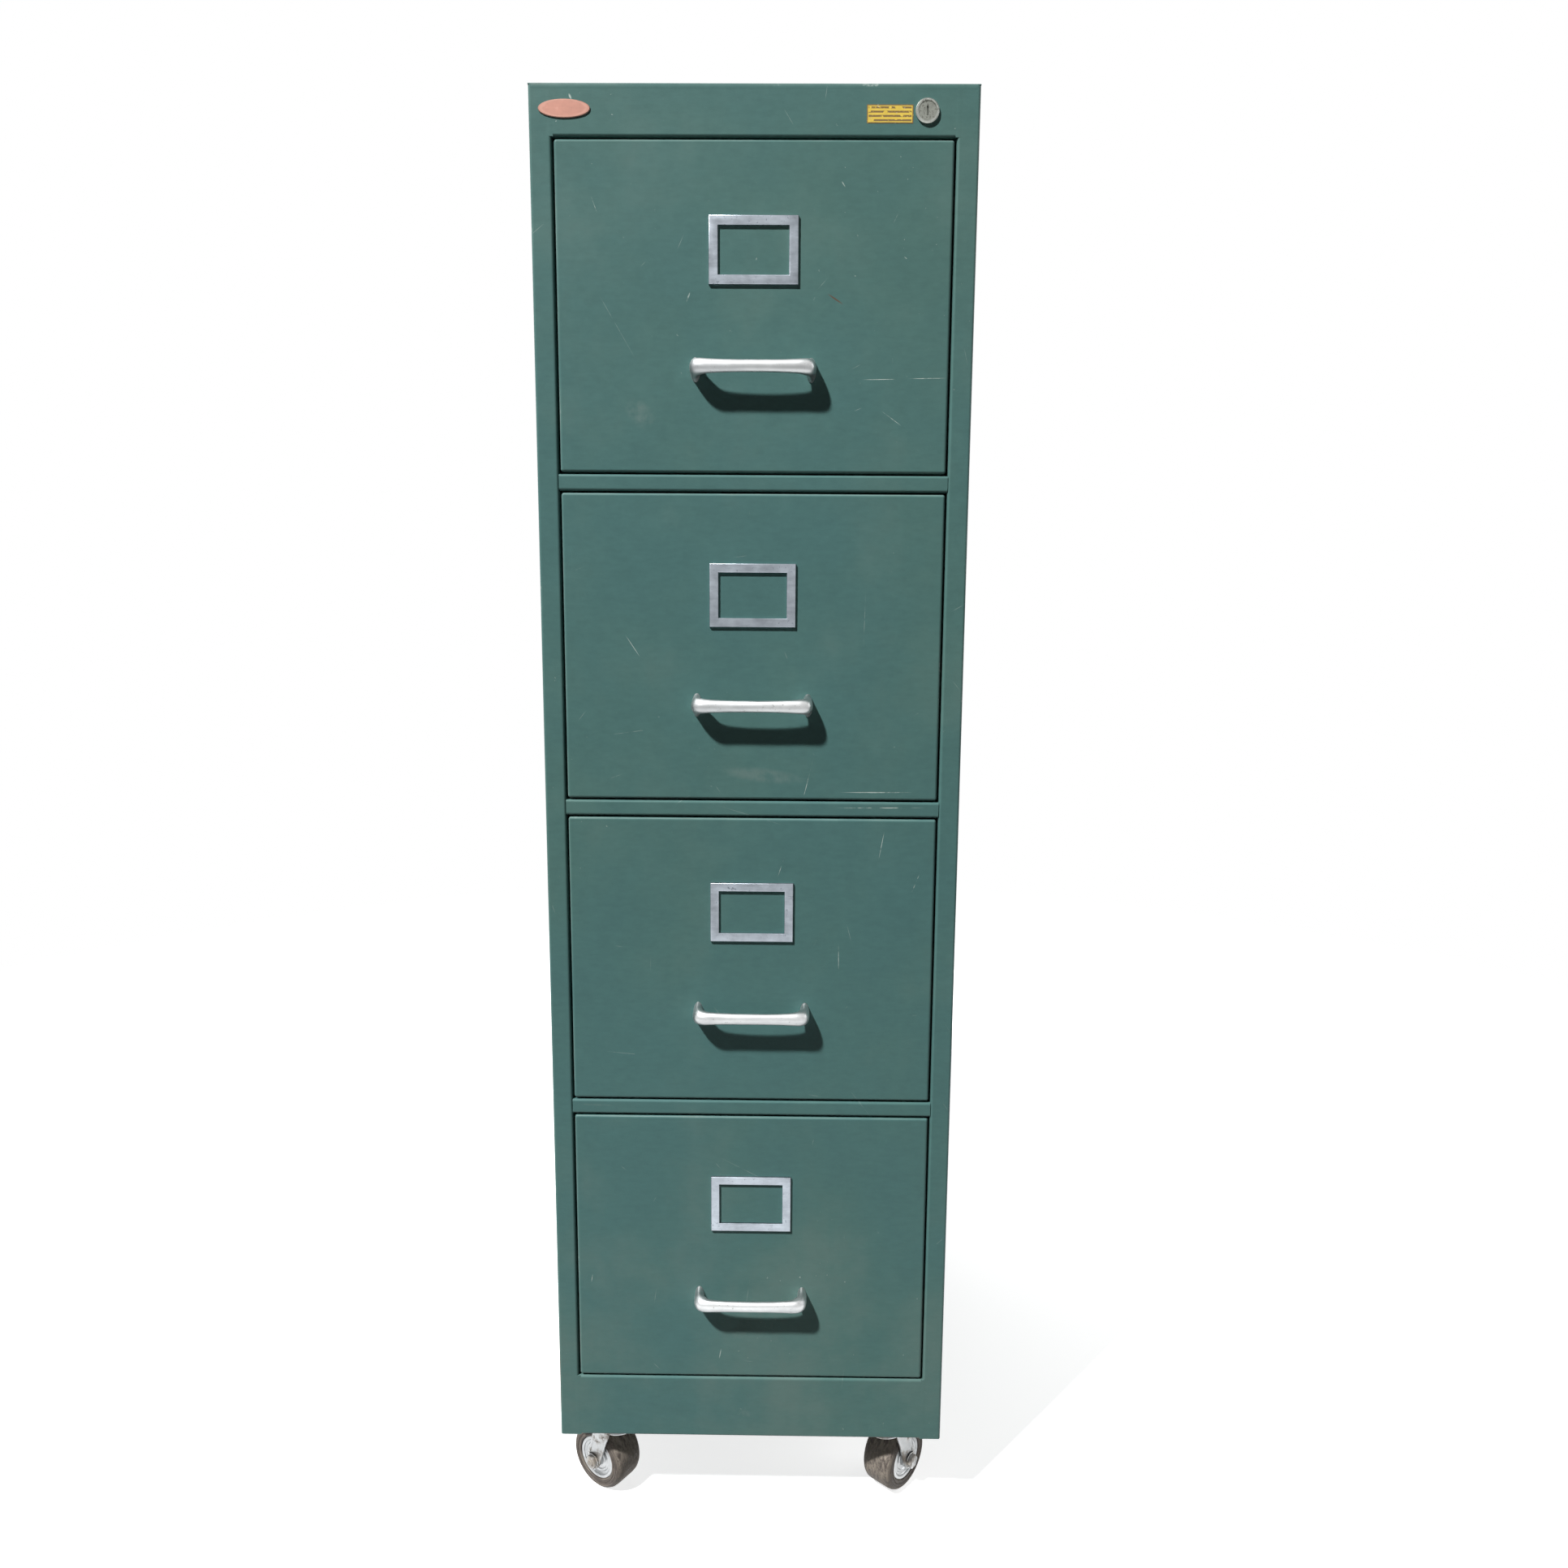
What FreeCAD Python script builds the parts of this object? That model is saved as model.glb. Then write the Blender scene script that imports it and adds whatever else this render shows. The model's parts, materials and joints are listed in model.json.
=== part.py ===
"""A four-drawer vertical filing cabinet of painted sheet steel, on four swivel casters.

The cabinet's own frame: X to the right, Y to the back, Z up, with the floor at zero. Pieces are
drawn with Y counted from the front plane of the case, then moved so that the whole cabinet, with its
handles, is centred on the origin.
"""
import FreeCAD, Part

import math
import os

import Sketcher
from FreeCAD import Placement, Rotation, Vector

os.makedirs("parts", exist_ok=True)
doc = FreeCAD.newDocument("filing_cabinet")
sheet = doc.addObject("Spreadsheet::Sheet", "sizes")

# Counts and angles
DRAWER_COUNT = 4
CASTER_YAWS = (55, -40, 140, 215)
LOCK_SWING = 90
HAT_PLAY_SHARE = 5
HEXAGON_SIDES = 6

# Half of the handle, from a foot to the middle of the bar. Each row has a section's place along
# the half length and the reach, then its height and its thickness against the foot's height.
HANDLE_SHARES = (
    (0.918, 0.0000, 1.000, 0.4286),
    (0.917, 0.2700, 0.800, 0.430),
    (0.907, 0.4750, 0.715, 0.500),
    (0.868, 0.6600, 0.650, 0.550),
    (0.805, 0.7550, 0.590, 0.470),
    (0.720, 0.7900, 0.530, 0.390),
    (0.360, 0.8120, 0.445, 0.350),
    (0.000, 0.8275, 0.432, 0.345),
)
HANDLE_TURNS = (0, 0, 22.5, 45, 67.5, 90, 90, 90)

# Driving dimensions in millimetres
DRIVING = {
    # Case
    "case_width": 400,
    "case_height": 1320,
    "case_depth": 620,
    "case_sheet": 1,
    "caster_height": 90,
    "stile_width": 20,
    "header_height": 44,
    "plinth_height": 68,
    "divider_height": 15,
    "frame_return": 18,
    "frame_bend": 2.5,
    "rear_flange": 15,
    "top_flange": 12,
    "pan_flange": 20,
    "top_edge": 0.8,
    # Drawers
    "drawer_gap": 1.8,
    "front_depth": 20,
    "front_round": 2.6,
    "front_lip": 20,
    "tray_length": 575,
    "tray_height": 238,
    "tray_lift": 8,
    "tray_sheet": 1.2,
    "tray_bend": 3,
    "tray_hem": 2.6,
    "tray_hem_height": 9,
    "tray_foot": 4,
    # Slides
    "slide_length": 560,
    "slide_setback": 40,
    "slide_rise": 125,
    "slide_sheet": 1.2,
    "slide_play": 0.3,
    "slide_half_height": 23,
    "slide_hook": 2.8,
    "slide_mouth": 2.7,
    "slide_inset": 1.5,
    "slide_pack": 12.7,
    "upright_width": 40,
    "upright_sheet": 1.5,
    "channel_width": 60,
    "channel_height": 25,
    "channel_foot": 12,
    # Handles
    "handle_length": 115,
    "handle_reach": 22,
    "handle_drop": 198,
    "handle_foot_height": 22,
    # Label frames
    "label_width": 81,
    "label_height": 59,
    "label_border": 8.5,
    "label_depth": 2.6,
    "label_bevel": 1.6,
    "label_drop": 95,
    # Badge
    "badge_width": 46.3,
    "badge_height": 15.7,
    "badge_depth": 1.2,
    "badge_edge": 0.5,
    "badge_inset": 32,
    "badge_drop": 21.3,
    # Lock
    "lock_inset": 47,
    "lock_drop": 22.6,
    "lock_rim_diameter": 21,
    "lock_rim_depth": 2.6,
    "lock_rim_bevel": 0.9,
    "lock_barrel_diameter": 18.4,
    "lock_barrel_length": 20.5,
    "lock_plug_diameter": 15.8,
    "lock_play": 0.05,
    "lock_face_recess": 0.6,
    "key_slot_width": 1.6,
    "key_slot_height": 8,
    "key_slot_depth": 3,
    "crank_throw": 9,
    "crank_disc": 2.5,
    "crank_gap": 0.5,
    "crank_pin_diameter": 4,
    "crank_edge": 3,
    "bar_thickness": 3,
    "bar_width": 12,
    "bar_inset": 16,
    "bar_play": 0.3,
    "bar_foot": 30,
    "arm_height": 13,
    "arm_edge": 4,
    "pin_play": 0.5,
    "hook_height": 13,
    "hook_reach": 15,
    "hook_drop": 75,
    "catch_height": 15,
    "catch_drop": 60,
    "catch_gap": 1,
    "catch_reach": 11,
    "guide_height": 16,
    "guide_wall": 2.7,
    "guide_rise": 60,
    # Casters
    "caster_side_inset": 55,
    "caster_end_inset": 37,
    "caster_trail": 18,
    "wheel_diameter": 70,
    "tyre_width": 36,
    "tyre_bore": 47,
    "tyre_shoulder": 4.5,
    "hub_width": 38.4,
    "hub_web": 24,
    "hub_boss_diameter": 17,
    "hub_rim": 3.5,
    "axle_diameter": 8,
    "axle_play": 0.05,
    "axle_head": 5,
    "axle_head_across": 13,
    "fork_gap": 0.3,
    "fork_plate": 2.6,
    "fork_crown_diameter": 50,
    "fork_crown_height": 6.5,
    "fork_eye_diameter": 18,
    "fork_top_width": 40,
    "kingpin_diameter": 12,
    "race_diameter": 44,
    "race_height": 7,
    "race_bevel": 2.5,
    "race_play": 0.3,
    "plate_side": 60,
    "plate_thickness": 3,
    "plate_corner": 6,
    # Length that every cut runs past its far face
    "overrun": 5,
}


class Size:
    """A length: its number, and the formula that binds it to the sheet."""

    def __init__(self, number, formula):
        self.number = number
        self.formula = formula

    def __add__(self, other):
        return Size(self.number + number(other), f"({self.formula} + {formula(other)})")

    def __sub__(self, other):
        return Size(self.number - number(other), f"({self.formula} - {formula(other)})")

    def __mul__(self, factor):
        return Size(self.number * factor, f"({self.formula} * {factor!r})")

    def __truediv__(self, factor):
        return Size(self.number / factor, f"({self.formula} / {factor!r})")

    def __neg__(self):
        return Size(-self.number, f"(-1 * {self.formula})")


def number(size):
    """The number of a Size, or of a plain zero."""
    return size.number if isinstance(size, Size) else float(size)


def formula(size):
    """The formula of a Size, or of a plain zero."""
    return size.formula if isinstance(size, Size) else repr(float(size))


class Sizes:
    """The sheet's driving dimensions, read as attributes."""

    def __init__(self, table):
        for row, (name, value) in enumerate(table.items(), start=1):
            sheet.set(f"A{row}", name)
            sheet.set(f"B{row}", str(value))
            sheet.setAlias(f"B{row}", name)
            setattr(self, name, Size(float(value), f"sizes.{name}"))


size = Sizes(DRIVING)
doc.recompute()

# Places that several pieces share
zero = size.case_width * 0
case_half = size.case_width / 2
case_front = (size.case_depth - size.handle_reach) / -2
case_top = size.caster_height + size.case_height
opening_half = case_half - size.stile_width
opening_room = size.case_height - size.header_height - size.plinth_height
opening_height = (opening_room - size.divider_height * (DRAWER_COUNT - 1)) / DRAWER_COUNT
opening_pitch = opening_height + size.divider_height
lowest_opening = size.caster_height + size.plinth_height
header_bottom = case_top - size.header_height
back_face = size.case_depth - size.case_sheet
wall_face = case_half - size.case_sheet
slide_face = opening_half - size.slide_inset
tray_half = slide_face - size.slide_pack
front_half = opening_half - size.drawer_gap
front_height = opening_height - size.drawer_gap * 2
lock_x = case_half - size.lock_inset
lock_z = case_top - size.lock_drop
crank_offset = size.crank_throw * math.sin(math.radians(LOCK_SWING / 2))
crank_back = size.lock_barrel_length + size.crank_gap + size.crank_disc
bar_front = crank_back + size.crank_gap * 2
bar_back = bar_front + size.bar_thickness
bar_outer = case_half - size.bar_inset + size.bar_width
bar_inner = case_half - size.bar_inset
swivel_x = case_half - size.caster_side_inset
wheel_radius = size.wheel_diameter / 2
pieces = []


def opening_bottom(drawer):
    """The height of a drawer's opening; drawer 1 is the top one."""
    return lowest_opening + opening_pitch * (DRAWER_COUNT - drawer)


def named(kind, label, kept=True):
    """A new object; a kept one is a sub-part that is written to a file."""
    item = doc.addObject(kind, label)
    item.Label = label
    if kept:
        pieces.append(item)
    return item


def seat(item, x=0, y=0, z=0):
    """Binds an object's place to the sheet."""
    for axis, place in zip("xyz", (x, y, z)):
        item.setExpression(f"Placement.Base.{axis}", formula(place))


def set_length(item, prop, length):
    """Sets one property of an object and binds it to the sheet."""
    setattr(item, prop, number(length))
    item.setExpression(prop, formula(length))


def sketch_on(body, role, offset=0, name="outline"):
    """A sketch on one of the body's own planes, moved along that plane's normal."""
    plane = next(item for item in body.Origin.OriginFeatures if item.Role == role)
    sketch = body.newObject("Sketcher::SketchObject", f"{body.Name}_{name}")
    sketch.AttachmentSupport = [(plane, "")]
    sketch.MapMode = "FlatFace"
    sketch.setExpression("AttachmentOffset.Base.z", formula(offset))
    return sketch


def bind(sketch, kind, *where, length):
    """Adds a dimension to a sketch and binds it to the sheet."""
    index = sketch.addConstraint(Sketcher.Constraint(kind, *where, number(length)))
    sketch.setExpression(f"Constraints[{index}]", formula(length))


def fold_outline(sketch, corners):
    """Draws a closed outline of level and upright edges; a corner is (x, y) or (x, y, radius)."""
    points = [Vector(number(corner[0]), number(corner[1]), 0) for corner in corners]
    count = len(corners)
    starts = []
    ends = []
    for index, corner in enumerate(corners):
        before = (points[index - 1] - points[index]).normalize()
        after = (points[(index + 1) % count] - points[index]).normalize()
        radius = number(corner[2]) if len(corner) > 2 else 0.0
        ends.append(points[index] + before * radius)
        starts.append(points[index] + after * radius)
    lines = []
    for index in range(count):
        line = Part.LineSegment(starts[index], ends[(index + 1) % count])
        lines.append(sketch.addGeometry(line, False))
    for index, corner in enumerate(corners):
        previous = lines[index - 1]
        following = lines[index]
        if len(corner) > 2:
            round_corner(sketch, previous, following, points[index], corner[2])
        else:
            sketch.addConstraint(Sketcher.Constraint("Coincident", previous, 2, following, 1))
    for index, line in enumerate(lines):
        step = points[(index + 1) % count] - points[index]
        if abs(step.x) < abs(step.y):
            sketch.addConstraint(Sketcher.Constraint("Vertical", line))
            bind(sketch, "DistanceX", -1, 1, line, 1, length=corners[index][0])
        else:
            sketch.addConstraint(Sketcher.Constraint("Horizontal", line))
            bind(sketch, "DistanceY", -1, 1, line, 1, length=corners[index][1])


def round_corner(sketch, previous, following, point, radius):
    """Joins two edges of a sketch by a tangent arc."""
    begin = sketch.Geometry[previous].EndPoint
    finish = sketch.Geometry[following].StartPoint
    centre = begin + finish - point
    first = math.atan2(begin.y - centre.y, begin.x - centre.x)
    last = math.atan2(finish.y - centre.y, finish.x - centre.x)
    turns_left = math.sin(last - first) > 0
    circle = Part.Circle(centre, Vector(0, 0, 1), number(radius))
    low, high = (first, last) if turns_left else (last, first)
    arc = sketch.addGeometry(Part.ArcOfCircle(circle, low, high), False)
    near, far = (1, 2) if turns_left else (2, 1)
    sketch.addConstraint(Sketcher.Constraint("Tangent", previous, 2, arc, near))
    sketch.addConstraint(Sketcher.Constraint("Tangent", arc, far, following, 1))
    bind(sketch, "Radius", arc, length=radius)


def point_outline(sketch, corners):
    """Draws a closed outline of straight edges through points of any direction."""
    points = [Vector(number(corner[0]), number(corner[1]), 0) for corner in corners]
    count = len(corners)
    lines = []
    for index in range(count):
        line = Part.LineSegment(points[index], points[(index + 1) % count])
        lines.append(sketch.addGeometry(line, False))
    for index, line in enumerate(lines):
        sketch.addConstraint(Sketcher.Constraint("Coincident", lines[index - 1], 2, line, 1))
        bind(sketch, "DistanceX", -1, 1, line, 1, length=corners[index][0])
        bind(sketch, "DistanceY", -1, 1, line, 1, length=corners[index][1])


def box_outline(sketch, left, right, low, high):
    """Draws a rectangle."""
    fold_outline(sketch, [(left, low), (right, low), (right, high), (left, high)])


def round_outline(sketch, x, y, radius):
    """Draws a circle."""
    circle = sketch.addGeometry(Part.Circle(Vector(number(x), number(y), 0), Vector(0, 0, 1),
                                            number(radius)), False)
    bind(sketch, "DistanceX", -1, 1, circle, 3, length=x)
    bind(sketch, "DistanceY", -1, 1, circle, 3, length=y)
    bind(sketch, "Radius", circle, length=radius)


def pad(body, sketch, length, backward=False, both=False):
    """Raises a sketch into a solid; backward runs against the plane's normal."""
    feature = body.newObject("PartDesign::Pad", f"{sketch.Name}_pad")
    feature.Profile = sketch
    set_length(feature, "Length", length)
    feature.Reversed = backward
    feature.Midplane = both
    sketch.Visibility = False
    return feature


def pocket(body, sketch, length, backward=False, both=False):
    """Cuts a sketch out of the body; without backward it cuts against the plane's normal."""
    doc.recompute()
    before = body.Shape.Volume
    feature = body.newObject("PartDesign::Pocket", f"{sketch.Name}_pocket")
    feature.Profile = sketch
    set_length(feature, "Length", length)
    feature.Reversed = backward
    feature.Midplane = both
    doc.recompute()
    if body.Shape.Volume >= before:
        raise RuntimeError(f"{feature.Name} cuts nothing")
    return feature


def revolve(body, sketch, axis):
    """Turns a sketch a full turn about one of its own axes."""
    feature = body.newObject("PartDesign::Revolution", f"{sketch.Name}_turned")
    feature.Profile = sketch
    feature.ReferenceAxis = (sketch, [axis])
    feature.Angle = 360
    return feature


def dress(body, kind, edges, radius, prop="Radius"):
    """Rounds or bevels chosen edges of the body's last feature."""
    base = body.Tip
    feature = body.newObject(f"PartDesign::{kind}", f"{body.Name}_{kind.lower()}")
    feature.Base = (base, edges)
    set_length(feature, prop, radius)
    return feature


def edges_where(body, test):
    """The names of the body's straight edges whose two ends pass a test."""
    doc.recompute()
    names = []
    for index, edge in enumerate(body.Shape.Edges, start=1):
        ends = [vertex.Point for vertex in edge.Vertexes]
        if len(ends) == 2 and test(*ends):
            names.append(f"Edge{index}")
    return names


def near(value, length):
    """True where a coordinate lies at a length of the sheet."""
    return abs(value - number(length)) < Part.Precision.approximation()


def mirrored(source, label, kept=True):
    """The left-hand copy of a right-hand piece."""
    item = named("Part::Mirroring", label, kept)
    item.Source = source
    item.Normal = Vector(1, 0, 0)
    return item


def group(label, items):
    """Several solids that make one sub-part."""
    item = named("Part::Compound", label)
    item.Links = items
    return item


def pair(label, source):
    """A right-hand piece and its left-hand copy as one sub-part."""
    return group(label, [source, mirrored(source, f"{label}_left", kept=False)])


# Case
def side_panel():
    """Wall, stile, inner return and rear flange, folded from one sheet."""
    wall = size.case_sheet
    bend = size.frame_bend
    inside = bend - wall
    inner = opening_half
    flange = case_half - size.rear_flange
    body = named("PartDesign::Body", "right_side_panel")
    plan = sketch_on(body, "XY_Plane", size.caster_height)
    fold_outline(plan, [
        (inner, size.frame_return), (inner, zero, bend), (case_half, zero, bend),
        (case_half, back_face, bend), (flange, back_face), (flange, back_face - wall),
        (wall_face, back_face - wall, inside), (wall_face, wall, inside),
        (inner + wall, wall, inside), (inner + wall, size.frame_return)])
    pad(body, plan, size.case_height - wall)
    seat(body, y=case_front)
    mirrored(body, "left_side_panel")


def channel_corners(low, high):
    """The section of a frame rail: a face with two returns to the back."""
    wall = size.case_sheet
    bend = size.frame_bend
    inside = bend - wall
    reach = size.frame_return
    return [(reach, low), (zero, low, bend), (zero, high, bend), (reach, high),
            (reach, high - wall), (wall, high - wall, inside), (wall, low + wall, inside),
            (reach, low + wall)]


def frame_rail(label, low, high):
    """A rail across the front, between the two stiles."""
    body = named("PartDesign::Body", label)
    section = sketch_on(body, "YZ_Plane", -opening_half)
    fold_outline(section, channel_corners(low, high))
    pad(body, section, opening_half * 2)
    seat(body, y=case_front)
    return body


def header_rail():
    """The top rail, bored for the lock."""
    body = frame_rail("header_rail", header_bottom, case_top - size.case_sheet)
    hole = sketch_on(body, "XZ_Plane", zero, "lock_hole")
    round_outline(hole, lock_x, lock_z, size.lock_barrel_diameter / 2 + size.lock_play)
    pocket(body, hole, size.overrun)


def front_rails():
    """Header, plinth and the rails between the drawers."""
    header_rail()
    frame_rail("base_plinth", size.caster_height, lowest_opening)
    for rail in range(1, DRAWER_COUNT):
        low = opening_bottom(rail) - size.divider_height
        frame_rail(f"divider_rail_{rail}", low, opening_bottom(rail))


def top_panel():
    """The top sheet, with a flange inside the walls and the back."""
    wall = size.case_sheet
    inside = size.frame_bend - wall
    inner_back = back_face - wall
    body = named("PartDesign::Body", "top_panel")
    plan = sketch_on(body, "XY_Plane", case_top - wall)
    box_outline(plan, -case_half, case_half, zero, size.case_depth)
    pad(body, plan, wall)
    flange = sketch_on(body, "XY_Plane", case_top - wall, "flange")
    fold_outline(flange, [
        (wall_face, size.frame_return), (wall_face, inner_back, inside),
        (-wall_face, inner_back, inside), (-wall_face, size.frame_return),
        (wall - wall_face, size.frame_return),
        (wall - wall_face, inner_back - wall), (wall_face - wall, inner_back - wall),
        (wall_face - wall, size.frame_return)])
    pad(body, flange, size.top_flange, backward=True)
    rim = edges_where(body, lambda a, b: near(a.z, case_top) and near(b.z, case_top))
    dress(body, "Fillet", rim, size.top_edge)
    seat(body, y=case_front)


def floor_pan():
    """The bottom sheet, with its sides and back turned up."""
    wall = size.case_sheet
    inside = size.frame_bend - wall
    inner_back = back_face - wall
    body = named("PartDesign::Body", "floor_pan")
    plan = sketch_on(body, "XY_Plane", size.caster_height)
    fold_outline(plan, [
        (-wall_face, size.frame_return), (wall_face, size.frame_return),
        (wall_face, inner_back, inside), (-wall_face, inner_back, inside)])
    pad(body, plan, size.pan_flange)
    hollow = sketch_on(body, "XY_Plane", size.caster_height + size.pan_flange, "hollow")
    box_outline(hollow, wall - wall_face, wall_face - wall, size.frame_return - size.overrun,
                inner_back - wall)
    pocket(body, hollow, size.pan_flange - wall)
    seat(body, y=case_front)


def back_panel():
    """The back sheet, which lies on the walls' rear flanges."""
    body = named("PartDesign::Body", "back_panel")
    face = sketch_on(body, "XZ_Plane", -back_face)
    box_outline(face, -case_half, case_half, size.caster_height, case_top - size.case_sheet)
    pad(body, face, size.case_sheet, backward=True)
    seat(body, y=case_front)


def base_channels():
    """Two hat channels over the casters, across the floor pan."""
    wall = size.upright_sheet
    low = size.caster_height + size.case_sheet
    high = low + size.channel_height
    half = size.channel_width / 2
    ridge = half - size.channel_foot
    length = (opening_half - size.stile_width) * 2
    channels = []
    for name, centre in (("front", size.caster_end_inset),
                         ("rear", size.case_depth - size.caster_end_inset)):
        body = named("PartDesign::Body", f"base_channel_{name}", kept=False)
        section = sketch_on(body, "YZ_Plane", length / -2)
        fold_outline(section, [
            (centre - half, low), (centre - ridge + wall, low),
            (centre - ridge + wall, high - wall), (centre + ridge - wall, high - wall),
            (centre + ridge - wall, low), (centre + half, low), (centre + half, low + wall),
            (centre + ridge, low + wall), (centre + ridge, high), (centre - ridge, high),
            (centre - ridge, low + wall), (centre - half, low + wall)])
        pad(body, section, length)
        seat(body, y=case_front)
        channels.append(body)
    group("base_channels", channels)


def slide_uprights():
    """Four upright channels on the walls, which carry the drawer slides."""
    wall = size.upright_sheet
    inside = size.frame_bend - wall
    low = size.caster_height + size.pan_flange
    high = case_top - size.case_sheet - size.top_flange
    outer = wall_face
    rights = []
    for name, start in (("front", size.slide_setback),
                        ("rear", size.slide_setback + size.slide_length - size.upright_width)):
        finish = start + size.upright_width
        body = named("PartDesign::Body", f"upright_{name}", kept=False)
        plan = sketch_on(body, "XY_Plane", low)
        fold_outline(plan, [
            (outer, start), (outer, start + wall), (slide_face + wall, start + wall, inside),
            (slide_face + wall, finish - wall, inside), (outer, finish - wall), (outer, finish),
            (slide_face, finish, size.frame_bend), (slide_face, start, size.frame_bend)])
        pad(body, plan, high - low)
        seat(body, y=case_front)
        rights.append(body)
    lefts = [mirrored(body, f"{body.Label}_left", kept=False) for body in rights]
    group("slide_uprights", rights + lefts)


# Slides
def slide_levels(inset):
    """Half height of a slide member that lies inside the outer one by so many sheets and plays."""
    return size.slide_half_height - (size.slide_sheet + size.slide_play) * inset


def slide_channel(label, inset, mouth, y):
    """A C-shaped slide member that opens to the drawer; inset counts the members round it."""
    wall = size.slide_sheet
    web = slide_face - (wall + size.slide_play) * inset
    half = slide_levels(inset)
    hook = half - wall - size.slide_hook
    body = named("PartDesign::Body", label, kept=False)
    section = sketch_on(body, "XZ_Plane", -y)
    fold_outline(section, [
        (web, -half), (web, half), (mouth, half), (mouth, hook), (mouth + wall, hook),
        (mouth + wall, half - wall), (web - wall, half - wall), (web - wall, wall - half),
        (mouth + wall, wall - half), (mouth + wall, -hook), (mouth, -hook), (mouth, -half)])
    pad(body, section, size.slide_length, backward=True)
    return body


def slide_hat(label, y):
    """The inner slide member: a hat on the drawer's side, its lips held by the middle member."""
    wall = size.slide_sheet
    middle_hook = slide_levels(1) - wall - size.slide_hook
    half = middle_hook - size.slide_play * HAT_PLAY_SHARE
    lip = slide_levels(2)
    tip = slide_face - (wall + size.slide_play) * 2 - size.slide_play * HAT_PLAY_SHARE
    body = named("PartDesign::Body", label, kept=False)
    section = sketch_on(body, "XZ_Plane", -y)
    fold_outline(section, [
        (tray_half, -half), (tip - wall, -half), (tip - wall, -lip), (tip, -lip),
        (tip, wall - half), (tray_half + wall, wall - half), (tray_half + wall, half - wall),
        (tip, half - wall), (tip, lip), (tip - wall, lip), (tip - wall, half), (tray_half, half)])
    pad(body, section, size.slide_length, backward=True)
    return body


def slides():
    """Three-part slides, a pair for each drawer."""
    outers = []
    mouth = tray_half + size.slide_mouth
    middle_mouth = mouth + size.slide_sheet + size.slide_play
    for drawer in range(1, DRAWER_COUNT + 1):
        level = opening_bottom(drawer) + size.slide_rise
        outer = slide_channel(f"slide_outer_{drawer}", 0, mouth, size.slide_setback)
        seat(outer, y=case_front, z=level)
        outers.append(outer)
        outers.append(mirrored(outer, f"slide_outer_{drawer}_left", kept=False))
        middle = slide_channel(f"slide_middle_{drawer}_right", 1, middle_mouth, size.slide_setback)
        seat(middle, y=case_front, z=level)
        pair(f"slide_middle_{drawer}", middle)
        inner = slide_hat(f"slide_inner_{drawer}_right", size.slide_setback)
        seat(inner, y=case_front, z=level)
        pair(f"slide_inner_{drawer}", inner)
    group("slide_outer_rails", outers)


# Drawers
def drawer_front(drawer):
    """The drawer's front: a shallow pan with rounded edges, its rims turned in at the back."""
    wall = size.case_sheet
    depth = size.front_depth
    lip = size.front_lip
    body = named("PartDesign::Body", f"drawer_front_{drawer}")
    face = sketch_on(body, "XZ_Plane", zero)
    box_outline(face, -front_half, front_half, zero, front_height)
    pad(body, face, depth, backward=True)
    corners = edges_where(body, lambda a, b: near(a.x - b.x, zero) and near(a.z - b.z, zero))
    dress(body, "Fillet", corners, size.front_round)
    rim = edges_where(body, lambda a, b: near(a.y, zero) and near(b.y, zero))
    dress(body, "Fillet", rim, size.front_round)
    hollow = sketch_on(body, "XZ_Plane", -depth, "hollow")
    box_outline(hollow, wall - front_half, front_half - wall, wall, front_height - wall)
    pocket(body, hollow, depth - wall, backward=True)
    turned_rim = sketch_on(body, "XZ_Plane", wall - depth, "rim")
    box_outline(turned_rim, wall - front_half, front_half - wall, wall, front_height - wall)
    box_outline(turned_rim, lip - front_half, front_half - lip, lip, front_height - lip)
    pad(body, turned_rim, wall, backward=True)
    seat(body, y=case_front, z=opening_bottom(drawer) + size.drawer_gap)


def drawer_tray(drawer):
    """The drawer's box: two folded sides with hemmed hanging rails, a bottom, two end walls and
    the catch that the lock holds."""
    wall = size.tray_sheet
    bend = size.tray_bend
    inside = bend - wall
    low = size.tray_lift
    high = low + size.tray_height
    hem = tray_half - size.tray_hem
    hem_low = high - size.tray_hem_height
    inner = tray_half - wall
    foot = tray_half - size.tray_foot
    front = size.front_depth
    floor = opening_bottom(drawer)
    side = named("PartDesign::Body", f"tray_side_{drawer}", kept=False)
    section = sketch_on(side, "XZ_Plane", -front)
    fold_outline(section, [
        (foot, low), (tray_half, low, bend), (tray_half, high), (hem, high), (hem, hem_low),
        (inner, hem_low), (inner, low + wall, inside), (foot, low + wall)])
    pad(side, section, size.tray_length, backward=True)
    seat(side, y=case_front, z=floor)
    sheets = [side, mirrored(side, f"tray_side_{drawer}_left", kept=False)]
    bottom = named("PartDesign::Body", f"tray_bottom_{drawer}", kept=False)
    section = sketch_on(bottom, "XZ_Plane", -front)
    box_outline(section, -foot, foot, low, low + wall)
    pad(bottom, section, size.tray_length, backward=True)
    seat(bottom, y=case_front, z=floor)
    sheets.append(bottom)
    for name, start in (("front", front), ("back", front + size.tray_length - wall)):
        end_wall = named("PartDesign::Body", f"tray_{name}_{drawer}", kept=False)
        section = sketch_on(end_wall, "XZ_Plane", -start)
        fold_outline(section, [(-hem, low + wall, inside), (hem, low + wall, inside), (hem, high),
                               (-hem, high)])
        pad(end_wall, section, wall, backward=True)
        seat(end_wall, y=case_front, z=floor)
        sheets.append(end_wall)
    catch = named("PartDesign::Body", f"tray_catch_{drawer}", kept=False)
    section = sketch_on(catch, "XZ_Plane", -(bar_back + size.catch_gap))
    catch_low = size.slide_rise - size.catch_drop
    box_outline(section, tray_half, tray_half + size.catch_reach, catch_low,
                catch_low + size.catch_height)
    pad(catch, section, wall, backward=True)
    seat(catch, y=case_front, z=floor)
    sheets.append(catch)
    group(f"drawer_tray_{drawer}", sheets)


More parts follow.
